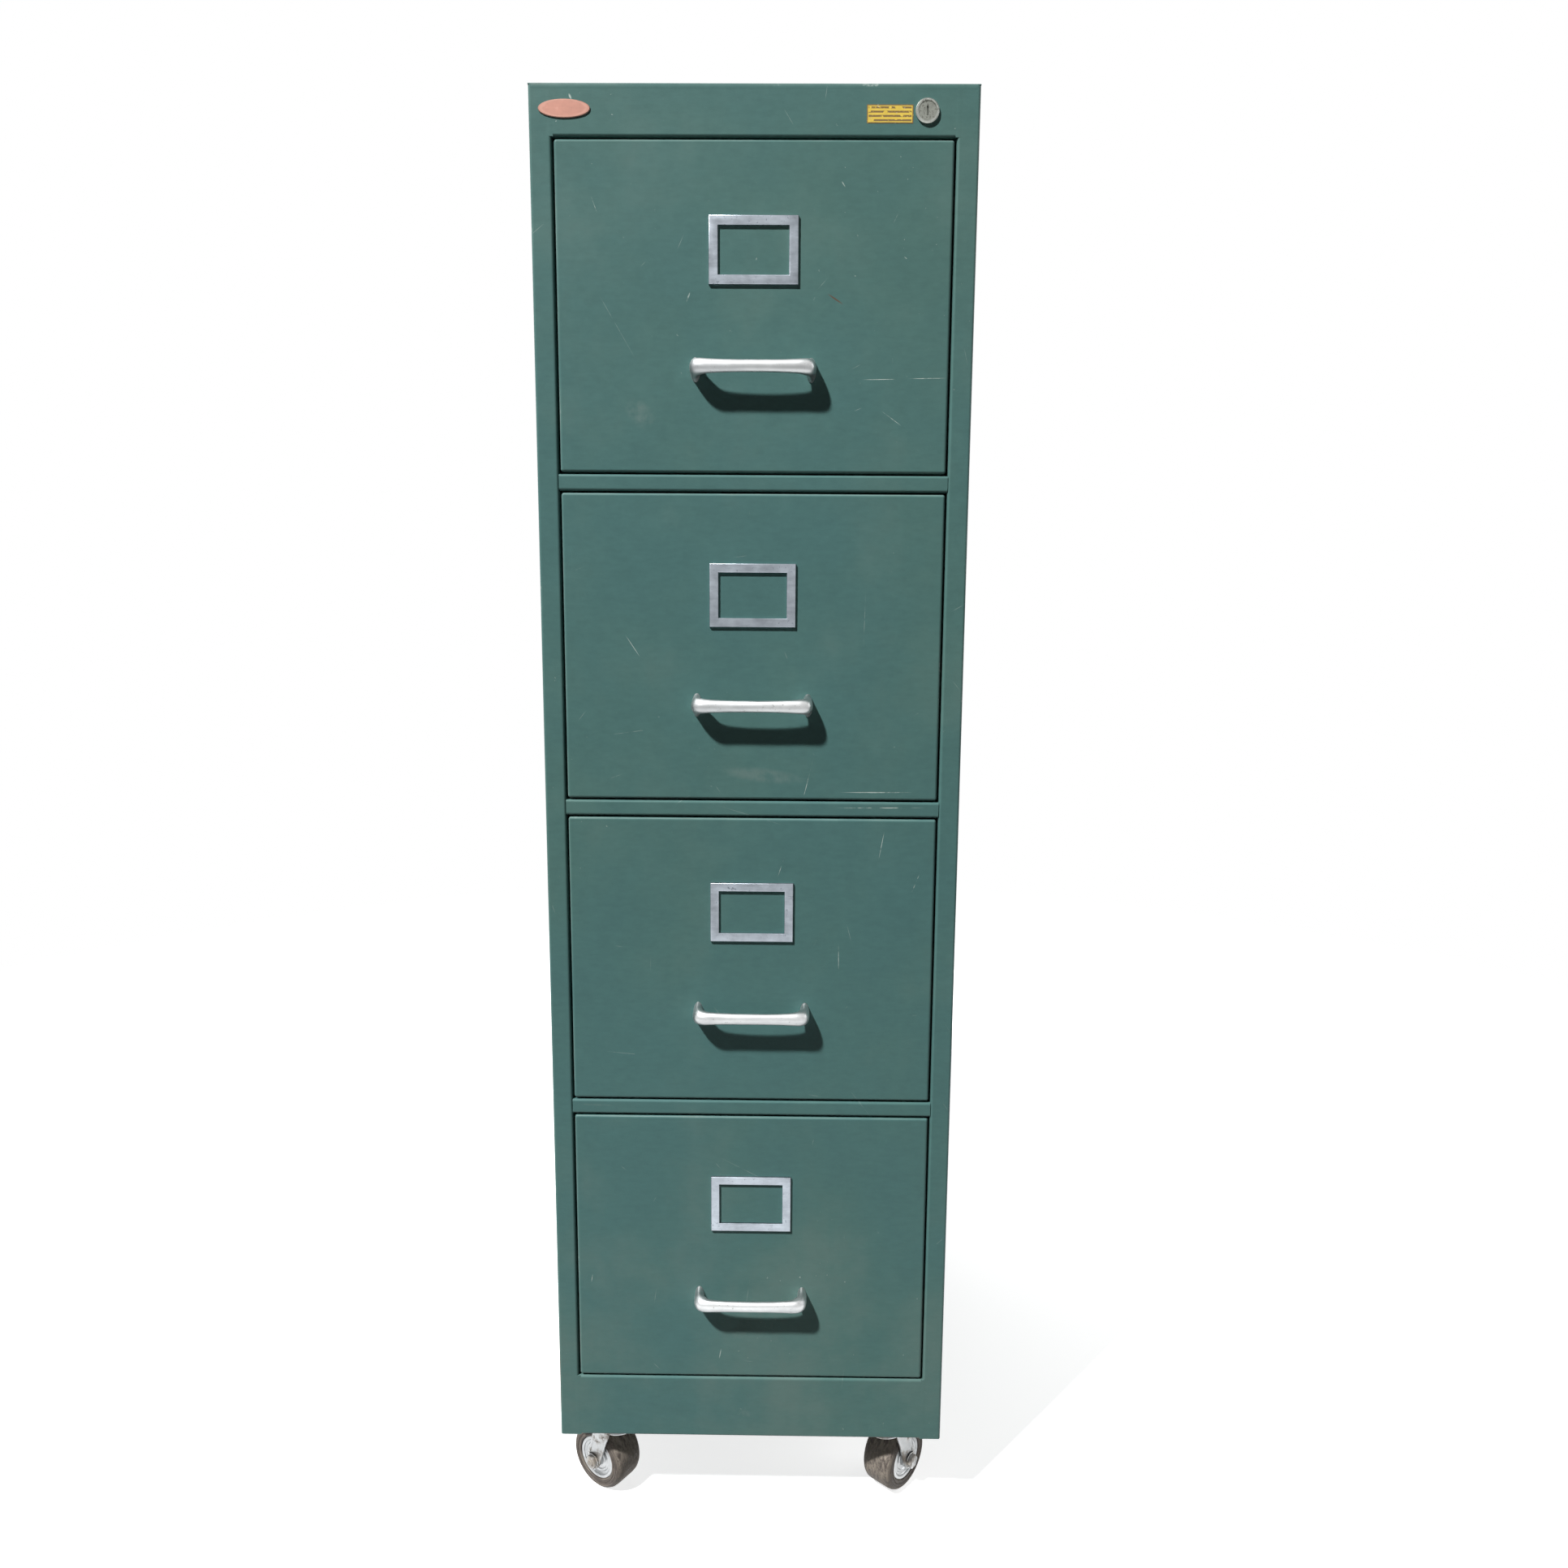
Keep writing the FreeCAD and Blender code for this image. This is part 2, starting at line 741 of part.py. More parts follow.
def ellipse(name, width, height, across, along):
    """A closed oval section: across and along are the directions of its first axis and normal."""
    item = named("Part::Ellipse", name, kept=False)
    set_length(item, "MajorRadius", width / 2)
    set_length(item, "MinorRadius", height / 2)
    item.Placement = Placement(Vector(), Rotation(across, along.cross(across), along, "ZXY"))
    return item


def loft(label, sections, ruled):
    """A solid through a row of sections."""
    item = named("Part::Loft", label)
    item.Sections = sections
    item.Solid = True
    item.Ruled = ruled
    return item


def handle_section(name, side, level, shares, turn):
    """One oval section of the handle; side is 1 on the right and -1 on the left."""
    sideways, outwards, tall, thick = shares
    foot = size.handle_foot_height
    angle = math.radians(turn)
    along = Vector(-math.sin(angle), -side * math.cos(angle), 0)
    oval = ellipse(name, foot * tall, foot * thick, Vector(0, 0, 1), along)
    middle = size.handle_length / 2 * (side * sideways)
    seat(oval, middle, case_front - size.handle_reach * outwards, level)
    return oval


def drawer_handle(drawer):
    """A cast bar pull: two tall feet, thick corners and a bar that thins to its middle."""
    level = opening_bottom(drawer) + opening_height - size.handle_drop
    half = list(zip(HANDLE_SHARES, HANDLE_TURNS))
    whole = [(1, *row) for row in half] + [(-1, *row) for row in reversed(half[:-1])]
    sections = []
    for index, (side, shares, turn) in enumerate(whole):
        name = f"handle_{drawer}_section_{index}"
        sections.append(handle_section(name, side, level, shares, turn))
    loft(f"drawer_handle_{drawer}", sections, ruled=True)


def label_frame(drawer):
    """A bevelled metal frame for a card."""
    border = size.label_border
    depth = size.label_depth
    half = size.label_width / 2
    centre = opening_height - size.label_drop
    low = centre - size.label_height / 2
    high = centre + size.label_height / 2
    body = named("PartDesign::Body", f"label_frame_{drawer}")
    face = sketch_on(body, "XZ_Plane", zero)
    box_outline(face, -half, half, low, high)
    box_outline(face, border - half, half - border, low + border, high - border)
    pad(body, face, depth)
    front_edges = edges_where(body, lambda a, b: near(a.y, -depth) and near(b.y, -depth))
    dress(body, "Chamfer", front_edges, size.label_bevel, "Size")
    seat(body, y=case_front, z=opening_bottom(drawer))


# Badge and lock
def oval_badge():
    """A thin bare oval plate on the header, bevelled at its edge."""
    steps = ((zero, zero), (size.badge_depth - size.badge_edge, zero),
             (size.badge_depth, size.badge_edge * 2))
    sections = []
    for index, (out, less) in enumerate(steps):
        oval = ellipse(f"badge_section_{index}", size.badge_width - less,
                       size.badge_height - less, Vector(1, 0, 0), Vector(0, -1, 0))
        seat(oval, size.badge_inset - case_half, case_front - out, case_top - size.badge_drop)
        sections.append(oval)
    loft("oval_badge", sections, ruled=True)


def lock_barrel():
    """The lock's fixed sleeve, with its rim on the header."""
    bore = size.lock_plug_diameter / 2 + size.lock_play
    shank = size.lock_barrel_diameter / 2
    rim = size.lock_rim_diameter / 2
    body = named("PartDesign::Body", "lock_barrel")
    section = sketch_on(body, "XY_Plane", zero)
    bevel = size.lock_rim_bevel
    point_outline(section, [
        (bore, -size.lock_rim_depth), (rim - bevel, -size.lock_rim_depth),
        (rim, bevel - size.lock_rim_depth), (rim, zero), (shank, zero),
        (shank, size.lock_barrel_length), (bore, size.lock_barrel_length)])
    revolve(body, section, "V_Axis")
    seat(body, lock_x, case_front, lock_z)


def lock_plug():
    """The turning plug, with its key slot, and at its back the disc and pin that lift the bar."""
    face = size.lock_face_recess - size.lock_rim_depth
    radius = size.lock_plug_diameter / 2
    disc = size.crank_throw + size.crank_edge
    disc_front = crank_back - size.crank_disc
    body = named("PartDesign::Body", "lock_plug")
    section = sketch_on(body, "XY_Plane", zero)
    fold_outline(section, [
        (zero, face), (radius, face), (radius, disc_front), (disc, disc_front),
        (disc, crank_back), (zero, crank_back)])
    revolve(body, section, "V_Axis")
    slot = sketch_on(body, "XZ_Plane", -face, "key_slot")
    box_outline(slot, size.key_slot_width / -2, size.key_slot_width / 2,
                size.key_slot_height / -2, size.key_slot_height / 2)
    pocket(body, slot, size.key_slot_depth)
    pin = sketch_on(body, "XZ_Plane", -crank_back, "pin")
    round_outline(pin, crank_offset, -crank_offset, size.crank_pin_diameter / 2)
    pad(body, pin, bar_back + size.crank_gap * 2 - crank_back, backward=True)
    seat(body, lock_x, case_front, lock_z)


def lock_bar():
    """The upright locking bar behind the right stile, with the slotted arm that the pin lifts."""
    pin_room = size.crank_pin_diameter / 2 + size.pin_play
    slot_left = lock_x + crank_offset - pin_room
    slot_right = lock_x + size.crank_throw + pin_room
    level = lock_z - crank_offset
    low = opening_bottom(DRAWER_COUNT) + size.slide_rise - size.hook_drop - size.bar_foot
    arm_low = level - size.arm_height / 2
    arm_high = level + size.arm_height / 2
    body = named("PartDesign::Body", "lock_bar")
    face = sketch_on(body, "XZ_Plane", -bar_front)
    fold_outline(face, [
        (bar_outer, low), (bar_outer, arm_high), (slot_left - size.arm_edge, arm_high),
        (slot_left - size.arm_edge, arm_low), (bar_inner, arm_low), (bar_inner, low)])
    pad(body, face, size.bar_thickness, backward=True)
    slot = sketch_on(body, "XZ_Plane", -bar_front, "slot")
    box_outline(slot, slot_left, slot_right, level - pin_room, level + pin_room)
    pocket(body, slot, size.bar_thickness)
    seat(body, y=case_front)


def lock_hooks():
    """One hook for each drawer on the locking bar's inner edge."""
    tip = bar_inner - size.hook_reach
    hooks = []
    for drawer in range(1, DRAWER_COUNT + 1):
        body = named("PartDesign::Body", f"lock_hook_{drawer}", kept=False)
        face = sketch_on(body, "XZ_Plane", -bar_front)
        point_outline(face, [
            (bar_inner, zero), (bar_inner, size.hook_height), (tip, size.hook_height),
            (tip, size.hook_height / 2), (bar_inner - size.hook_reach / 2, zero)])
        pad(body, face, size.bar_thickness, backward=True)
        seat(body, y=case_front, z=opening_bottom(drawer) + size.slide_rise - size.hook_drop)
        hooks.append(body)
    group("lock_hooks", hooks)


def lock_guides():
    """One guide for each drawer, which holds the locking bar to the front upright."""
    play = size.bar_play
    wall = size.guide_wall
    guides = []
    for drawer in range(1, DRAWER_COUNT + 1):
        body = named("PartDesign::Body", f"lock_guide_{drawer}", kept=False)
        plan = sketch_on(body, "XY_Plane", zero)
        box_outline(plan, bar_inner - play - wall, bar_outer + play + wall,
                    bar_front - play - wall, size.slide_setback)
        box_outline(plan, bar_inner - play, bar_outer + play, bar_front - play, bar_back + play)
        pad(body, plan, size.guide_height)
        level = opening_bottom(drawer) + size.slide_rise - size.hook_drop + size.guide_rise
        seat(body, y=case_front, z=level)
        guides.append(body)
    group("lock_guides", guides)


# Casters
plate_low = size.caster_height - size.plate_thickness
race_low = plate_low - size.race_height
crown_high = race_low - size.race_play
crown_low = crown_high - size.fork_crown_height
fork_inner = size.hub_width + size.fork_gap * 2
fork_width = fork_inner + size.fork_plate * 2
axle_radius = size.axle_diameter / 2
CASTER_PLACES = (
    (-swivel_x, size.caster_end_inset), (swivel_x, size.caster_end_inset),
    (-swivel_x, size.case_depth - size.caster_end_inset),
    (swivel_x, size.case_depth - size.caster_end_inset))


def caster_plates():
    """The mounting plates under the floor pan, each with the fixed race of its swivel."""
    half = size.plate_side / 2
    corner = size.plate_corner
    bore = size.kingpin_diameter / 2 + size.axle_play
    race = size.race_diameter / 2
    plates = []
    for caster, (x, y) in enumerate(CASTER_PLACES, start=1):
        body = named("PartDesign::Body", f"caster_plate_{caster}", kept=False)
        plan = sketch_on(body, "XY_Plane", plate_low)
        fold_outline(plan, [(-half, -half, corner), (half, -half, corner), (half, half, corner),
                            (-half, half, corner)])
        pad(body, plan, size.plate_thickness)
        section = sketch_on(body, "XZ_Plane", zero, "race")
        point_outline(section, [
            (bore, race_low), (race - size.race_bevel, race_low),
            (race, race_low + size.race_bevel), (race, plate_low), (bore, plate_low)])
        revolve(body, section, "V_Axis")
        seat(body, x, case_front + y)
        plates.append(body)
    group("caster_plates", plates)


def turned(item, yaw):
    """Turns an object about the upright axis."""
    item.Placement = Placement(Vector(), Rotation(Vector(0, 0, 1), yaw))


def caster_fork(caster, x, y, yaw):
    """The swivelling fork: kingpin, crown and two trailing legs with eyes for the axle."""
    crown = size.fork_crown_diameter / 2
    pin = size.kingpin_diameter / 2
    eye = size.fork_eye_diameter / 2
    top = size.fork_top_width / 2
    crown_middle = crown_low + size.fork_crown_height / 2
    body = named("PartDesign::Body", f"caster_fork_{caster}")
    section = sketch_on(body, "XZ_Plane", zero, "crown")
    point_outline(section, [
        (zero, crown_low), (crown, crown_low), (crown, crown_high - size.race_bevel),
        (crown - size.race_bevel, crown_high), (pin, crown_high),
        (pin, plate_low - size.race_play), (zero, plate_low - size.race_play)])
    revolve(body, section, "V_Axis")
    legs = sketch_on(body, "YZ_Plane", zero, "legs")
    point_outline(legs, [
        (-top, crown_middle), (-top, crown_low), (size.caster_trail - eye, wheel_radius),
        (size.caster_trail + eye, wheel_radius), (top, crown_low), (top, crown_middle)])
    pad(body, legs, fork_width, both=True)
    eyes = sketch_on(body, "YZ_Plane", zero, "eyes")
    round_outline(eyes, size.caster_trail, wheel_radius, eye)
    pad(body, eyes, fork_width, both=True)
    gap = sketch_on(body, "YZ_Plane", zero, "gap")
    box_outline(gap, -size.fork_top_width, size.caster_trail + size.fork_top_width,
                wheel_radius - size.fork_eye_diameter, crown_low)
    pocket(body, gap, fork_inner, both=True)
    hole = sketch_on(body, "YZ_Plane", zero, "axle_hole")
    round_outline(hole, size.caster_trail, wheel_radius, axle_radius + size.axle_play)
    pocket(body, hole, fork_width + size.overrun, both=True)
    turned(body, yaw)
    seat(body, x, case_front + y)


def axle_head(body, name, place, backward):
    """A hexagonal head on one end of the axle."""
    corner = size.axle_head_across / 2 / math.cos(math.pi / HEXAGON_SIDES)
    head = sketch_on(body, "YZ_Plane", place, name)
    angles = [2 * math.pi * side / HEXAGON_SIDES for side in range(HEXAGON_SIDES)]
    point_outline(head, [(corner * math.cos(angle), corner * math.sin(angle))
                         for angle in angles])
    pad(body, head, size.axle_head, backward=backward)


def wheel_place(x, y, yaw):
    """The wheel's centre on the floor plan, behind its swivel."""
    angle = math.radians(yaw)
    trail = size.caster_trail
    return x - trail * math.sin(angle), case_front + y + trail * math.cos(angle)


def caster_axle(caster, x, y, yaw):
    """The axle bolt, from its head to its nut."""
    body = named("PartDesign::Body", f"caster_axle_{caster}")
    shaft = sketch_on(body, "YZ_Plane", zero, "shaft")
    round_outline(shaft, zero, zero, axle_radius)
    pad(body, shaft, fork_width, both=True)
    axle_head(body, "head", fork_width / 2, False)
    axle_head(body, "nut", fork_width / -2, True)
    turned(body, yaw)
    seat(body, *wheel_place(x, y, yaw), wheel_radius)


def caster_hub(caster, x, y, yaw):
    """The wheel's metal disc, with a boss that runs on the axle."""
    half = size.hub_width / 2
    web = size.hub_web / 2
    rim_half = (size.tyre_width - size.hub_rim) / 2
    bore = axle_radius + size.axle_play
    boss = size.hub_boss_diameter / 2
    rim = size.tyre_bore / 2
    body = named("PartDesign::Body", f"caster_hub_{caster}")
    section = sketch_on(body, "XY_Plane", zero)
    fold_outline(section, [
        (-half, bore), (half, bore), (half, boss), (web, boss), (web, rim - size.hub_rim),
        (rim_half, rim - size.hub_rim), (rim_half, rim), (-rim_half, rim),
        (-rim_half, rim - size.hub_rim), (-web, rim - size.hub_rim), (-web, boss), (-half, boss)])
    revolve(body, section, "H_Axis")
    turned(body, yaw)
    seat(body, *wheel_place(x, y, yaw), wheel_radius)


def caster_tyre(caster, x, y, yaw):
    """The tyre on the disc, with sloped shoulders."""
    half = size.tyre_width / 2
    rim = size.tyre_bore / 2
    tread = half - size.tyre_shoulder
    body = named("PartDesign::Body", f"caster_tyre_{caster}")
    section = sketch_on(body, "XY_Plane", zero)
    point_outline(section, [
        (-half, rim), (half, rim), (half, wheel_radius - size.tyre_shoulder),
        (tread, wheel_radius), (-tread, wheel_radius),
        (-half, wheel_radius - size.tyre_shoulder)])
    revolve(body, section, "H_Axis")
    turned(body, yaw)
    seat(body, *wheel_place(x, y, yaw), wheel_radius)


def casters():
    """The four swivel casters."""
    caster_plates()
    for caster, ((x, y), yaw) in enumerate(zip(CASTER_PLACES, CASTER_YAWS), start=1):
        caster_fork(caster, x, y, yaw)
        caster_axle(caster, x, y, yaw)
        caster_hub(caster, x, y, yaw)
        caster_tyre(caster, x, y, yaw)


def report_and_write():
    """Checks every object and writes each sub-part to its file."""
    doc.recompute()
    for item in doc.Objects:
        if any(state in ("Invalid", "Error") for state in item.State):
            raise RuntimeError(f"{item.Label} failed: {item.State}")
    for item in pieces:
        shape = item.Shape
        if shape.isNull() or not shape.isValid():
            raise RuntimeError(f"{item.Label} has no valid shape")
        shape.exportStep(os.path.join("parts", f"{item.Label}.step"))
        print(f"{item.Label}: {len(shape.Solids)} solids, {shape.Volume:.0f} mm3")


side_panel()
front_rails()
top_panel()
floor_pan()
back_panel()
base_channels()
slide_uprights()
slides()
for drawer_number in range(1, DRAWER_COUNT + 1):
    drawer_front(drawer_number)
    drawer_tray(drawer_number)
    drawer_handle(drawer_number)
    label_frame(drawer_number)
oval_badge()
lock_barrel()
lock_plug()
lock_bar()
lock_hooks()
lock_guides()
casters()
report_and_write()
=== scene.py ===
"""Dresses the four-drawer filing cabinet: enamel, pulls, trim, casters and the studio."""
import json
import math

import bmesh
import bpy
from bpy.props import FloatProperty, FloatVectorProperty, IntProperty, PointerProperty
from mathutils import Matrix, Vector


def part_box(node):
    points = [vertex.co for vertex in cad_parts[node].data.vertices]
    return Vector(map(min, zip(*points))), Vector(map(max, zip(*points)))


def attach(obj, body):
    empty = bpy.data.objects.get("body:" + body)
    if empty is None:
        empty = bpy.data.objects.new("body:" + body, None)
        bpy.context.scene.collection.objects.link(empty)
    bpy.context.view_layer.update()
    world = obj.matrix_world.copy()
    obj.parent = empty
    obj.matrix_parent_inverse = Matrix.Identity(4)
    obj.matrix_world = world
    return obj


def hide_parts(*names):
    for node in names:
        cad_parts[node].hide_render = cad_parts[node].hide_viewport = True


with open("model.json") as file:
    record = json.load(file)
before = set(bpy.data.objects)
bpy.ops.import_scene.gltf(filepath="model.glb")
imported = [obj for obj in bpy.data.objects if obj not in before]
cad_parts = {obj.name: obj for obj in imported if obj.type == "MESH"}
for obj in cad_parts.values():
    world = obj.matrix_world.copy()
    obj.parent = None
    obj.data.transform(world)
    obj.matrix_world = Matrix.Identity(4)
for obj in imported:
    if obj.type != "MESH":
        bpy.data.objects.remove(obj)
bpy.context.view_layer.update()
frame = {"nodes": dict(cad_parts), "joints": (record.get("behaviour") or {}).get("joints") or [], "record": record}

bl_info = {
    "name": "Filing cabinet",
    "version": (1, 0, 0),
    "blender": (4, 5, 0),
    "location": "3D View > Sidebar > Cabinet",
    "description": "Dresses the packed filing cabinet and sets up its studio",
    "category": "Object",
}

MM = 0.001
MICRON = 0.001 * MM
DRAWERS = range(1, 5)
CASTERS = range(1, 5)
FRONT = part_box("header_rail")[0].y

# Half of a pull, from a foot to the middle of its bar: place along the half length, share of the
# reach, height and thickness against the foot's height, and turn in degrees.
PULL_SECTIONS = (
    (0.918, 0.0000, 1.000, 0.4286, 0),
    (0.918, 0.0900, 0.935, 0.4300, 0),
    (0.917, 0.2700, 0.800, 0.4300, 0),
    (0.903, 0.4650, 0.730, 0.5500, 22.5),
    (0.857, 0.6350, 0.680, 0.6600, 45),
    (0.795, 0.7400, 0.630, 0.5400, 67.5),
    (0.710, 0.7850, 0.575, 0.4100, 90),
    (0.540, 0.8000, 0.530, 0.3600, 90),
    (0.360, 0.8120, 0.500, 0.3500, 90),
    (0.000, 0.8275, 0.490, 0.3450, 90),
)

# Profiles in millimetres: (along the axis, radius), the outer half; the other half is its mirror.
TYRE_PROFILE = ((17.0, 23.5), (17.6, 24.2), (17.8, 26.0), (17.2, 26.6), (17.2, 27.2), (17.9, 27.8),
                (18.0, 29.2), (17.5, 29.7), (17.5, 30.2), (17.8, 30.6), (16.9, 32.0), (15.6, 33.5),
                (13.5, 34.6), (10.0, 35.0), (3.0, 35.0))
HUB_PROFILE = ((19.2, 4.1), (19.2, 8.2), (18.7, 8.5), (14.6, 8.7), (14.0, 9.3), (14.0, 13.0),
               (15.0, 14.0), (15.2, 15.5), (14.4, 16.6), (14.4, 18.2), (15.2, 19.2), (16.4, 19.6),
               (16.8, 20.2), (16.8, 22.2), (16.3, 23.0), (15.2, 23.45))
CROWN_PROFILE = ((73.2, 0.0), (73.2, 15.0), (73.9, 17.5), (76.6, 22.0), (77.5, 23.0), (78.4, 23.1),
                 (79.3, 22.4), (79.7, 21.0), (79.7, 6.0), (86.7, 6.0), (86.7, 0.0))
SHAFT_PROFILE = ((-27.6, 0.0), (-27.6, 3.0), (-27.0, 3.8), (27.0, 3.8), (27.0, 0.0))
WASHER_PROFILE = ((22.12, 4.0), (22.12, 8.0), (22.5, 8.4), (23.2, 8.4), (23.5, 8.0), (23.5, 4.0))
# Where the axle's head and nut start and end along it, in millimetres.
HEAD_SPAN = (23.5, 27.1)
NUT_SPAN = (-26.6, -23.5)

# Filler over a stile's bend, in millimetres: (outwards from the rail's end, behind the front).
SEAM_PROFILE = ((-1.6, 0.02), (-0.6, -0.03), (2.9, -0.03), (3.7, 0.02), (2.4, 2.0), (-0.4, 2.0))
# Filler under the top sheet's edge: (upwards from the header's top, behind the front).
BROW_PROFILE = ((0.35, 0.02), (0.10, -0.05), (-3.2, -0.05), (-4.0, 0.02), (-2.6, 1.8), (-0.1, 1.8))

# Steps round the small turned pieces, levels of the pulls' subdivision, and the angles in degrees
# above which a piece's edges stay sharp.
SHAFT_STEPS = 32
WASHER_STEPS = 40
EYE_STEPS = 32
PULL_LEVELS = 2
ALL_SMOOTH = 180
WHEEL_CREASE = 28
FORK_CREASE = 30

# How worn the edges are, and how strong the painted highlight line along them is: of the case, and of the drawers'
# fronts.
CASE_WEAR_AND_HIGHLIGHT = 0.1
FRONT_WEAR_AND_HIGHLIGHT = 0.45

# The camera in metres from the middle of the front's foot, its turns in degrees, and its lens and
# sensor in millimetres.
CAMERA_PLACE = (0.0404, -1.0557, 0.944)
CAMERA_DOWN = 8.48
CAMERA_ASIDE = -0.524
CAMERA_ROLL = 0.405
CAMERA_LENS = 25.46
CAMERA_SENSOR = 36

# The lamps in metres, and the floor: half its side, where it starts and ends to fade into white,
# and its greys to the eye and for the light that it throws back.
LAMP_AIM = Vector((0, FRONT, 0.78))
KEY_DIRECTION = Vector((-0.434, -0.456, 0.776))
KEY_DISTANCE = 9.5
FILL_PLACES = {"Right fill": (4.0, 0.9, 2.0), "Back fill": (-1.5, 4.0, 2.6)}
FILL_SIZE = 2.5
FLOOR_HALF = 14
FLOOR_FADE = (1.2, 2.6)
FLOOR_SEEN = (0.8, 0.8, 0.8)
FLOOR_THROWN = (0.04, 0.04, 0.04)
WHITE = (1, 1, 1)

# Marks on the front in millimetres from the middle of the front and the floor:
# start x, start z, end x, end z, width, kind.
# On the drawers' fronts the soft pale patches under the pulls are dust and also painted glints of light thrown by
# the pulls; those on the case are dust.
FRONT_MARKS = {
    "drawer_front_1": (
        (65.7, 1235.2, 82.5, 1224.4, 1.9, "bare"),
        (97.8, 1160.1, 134.0, 1160.8, 0.9, "pale"),
        (140.0, 1161.2, 179.0, 1161.9, 0.9, "pale"),
        (-145.7, 1316.8, -140.2, 1301.9, 0.8, "pale"),
        (116.9, 1133.1, 137.3, 1118.8, 0.8, "pale"),
        (-118.0, 1142.0, -88.0, 1115.0, 26.0, "dusty"),
        (-61.0, 1226.0, -57.0, 1236.0, 1.6, "pale"),
        (78.0, 1330.0, 82.0, 1324.0, 1.2, "pale"),
    ),
    "drawer_front_2": (
        (80.9, 778.8, 159.1, 779.4, 1.2, "pale"),
        (59.4, 814.1, 45.9, 758.6, 0.8, "pale"),
        (-120.8, 928.6, -105.7, 905.8, 0.8, "pale"),
        (-40.0, 800.0, 60.0, 790.0, 18.0, "dusty"),
    ),
    "drawer_front_3": (
        (164.9, 703.5, 153.8, 674.9, 0.9, "pale"),
        (85.4, 629.1, 85.9, 596.0, 0.8, "pale"),
        (32.8, 718.4, 25.0, 694.1, 0.8, "pale"),
        (128.6, 743.4, 122.9, 711.2, 0.8, "pale"),
        (-177.5, 466.6, -172.0, 465.9, 1.8, "pale"),
    ),
    "drawer_front_4": (
        (-30.4, 191.9, -32.9, 178.8, 1.2, "pale"),
        (-163.0, 274.5, -164.8, 263.6, 0.9, "pale"),
        (-157.4, 160.2, -149.0, 160.4, 1.8, "pale"),
        (-112.0, 160.2, -106.3, 160.6, 1.6, "pale"),
        (-60.0, 215.0, 70.0, 225.0, 60.0, "dusty"),
    ),
    "case": (
        (77.2, 763.6, 171.2, 764.5, 1.3, "pale"),
        (-176.8, 458.9, -134.1, 457.6, 3.0, "dusty"),
        (-199.6, 212.0, -200.2, 92.0, 2.4, "rust"),
        (200.0, 1330.0, 200.0, 1240.0, 1.6, "rust"),
        (-163.8, 1401.6, -161.2, 1395.8, 2.3, "pale"),
        (-30.0, 118.0, 30.0, 122.0, 22.0, "dusty"),
    ),
}


def joint(name):
    """The record's entry of one joint."""
    return next(entry for entry in frame["joints"] if entry["name"] == name)


def nodes_of(slot):
    """The CAD nodes that take their finish from this slot of the record."""
    rows = frame["record"]["subparts"]
    return [row["node"] for row in rows if row["material_slot"] == slot]


def front_colour(name, default, description):
    """A colour setting."""
    return FloatVectorProperty(name=name, description=description, subtype="COLOR", size=3,
                               min=0.0, max=1.0, default=default)


def length(name, millimetres, description):
    """A length setting, given in millimetres and kept in metres."""
    return FloatProperty(name=name, description=description, subtype="DISTANCE", unit="LENGTH",
                         min=0.0, default=millimetres * MM)


def share(name, default, description):
    """A setting between nothing and all."""
    return FloatProperty(name=name, description=description, subtype="FACTOR", min=0.0, max=1.0,
                         default=default)


class CabinetColours(bpy.types.PropertyGroup):
    """Colours of the cabinet's finishes."""

    enamel_cool: front_colour("Enamel, cool", (0.070, 0.158, 0.152), "The enamel's bluer tone")
    enamel_warm: front_colour("Enamel, warm", (0.076, 0.159, 0.142), "The enamel's greener tone")
    # Also the colour of the painted glints of light under the pulls.
    enamel_dust_and_glint: front_colour("Dust", (0.190, 0.245, 0.225), "Dust and chalking on the enamel")
    # Also the colour of the painted highlight line along the enamel's edges.
    primer_and_highlight: front_colour("Primer", (0.42, 0.50, 0.46), "Pale coat that shows in scratches")
    rust: front_colour("Rust", (0.12, 0.06, 0.035), "Brown rust where the coat is gone")
    steel: front_colour("Inner steel", (0.105, 0.135, 0.128), "Plain painted steel inside the case")
    pull: front_colour("Pulls", (0.64, 0.65, 0.65), "Polished cast metal of the pulls")
    tarnish: front_colour("Tarnish", (0.30, 0.315, 0.335), "Dull clouds on the pulls")
    # Painted shade: the colour that darkens the lower half of each pull.
    pull_painted_shade: front_colour("Underside", (0.15, 0.16, 0.165), "Lower half of a pull")
    cast_pits: front_colour("Cast pits", (0.10, 0.10, 0.095), "Pits in the pulls")
    grime: front_colour("Grime", (0.10, 0.11, 0.10), "Grime round the feet of the pulls")
    label: front_colour("Label frames", (0.29, 0.32, 0.355), "Brushed bright metal of the frames")
    specks: front_colour("Specks", (0.09, 0.10, 0.12), "Dark specks in bright sheet")
    badge: front_colour("Oval plate", (0.405, 0.195, 0.145), "Copper-coloured plate on the header")
    badge_worn: front_colour("Plate, worn", (0.75, 0.62, 0.56), "Rubbed places on the oval plate")
    badge_rim: front_colour("Plate, rim", (0.88, 0.66, 0.56), "Line inside the oval plate's edge")
    badge_edge: front_colour("Plate, edge", (0.16, 0.12, 0.10), "Outermost edge of the oval plate")
    lock: front_colour("Lock", (0.24, 0.25, 0.22), "Dull plated metal of the lock")
    lock_rim: front_colour("Lock, rim", (0.60, 0.62, 0.60), "Worn rim of the lock")
    lock_pits: front_colour("Lock, pits", (0.06, 0.055, 0.045), "Pits in the lock's face")
    zinc: front_colour("Zinc", (0.35, 0.36, 0.365), "Zinc plating of slides and casters")
    rubber: front_colour("Rubber", (0.035, 0.026, 0.021), "Dark rubber of the tyres")
    dirt: front_colour("Dirt", (0.30, 0.26, 0.215), "Grey-brown dirt on tyres and casters")
    sticker: front_colour("Sticker", (0.66, 0.47, 0.06), "Yellow paper of the sticker")
    ink: front_colour("Ink", (0.11, 0.06, 0.025), "Border and ruled lines of the sticker")
    scuffs: front_colour("Scuffs", (0.55, 0.52, 0.40), "Paper where the sticker is scuffed")


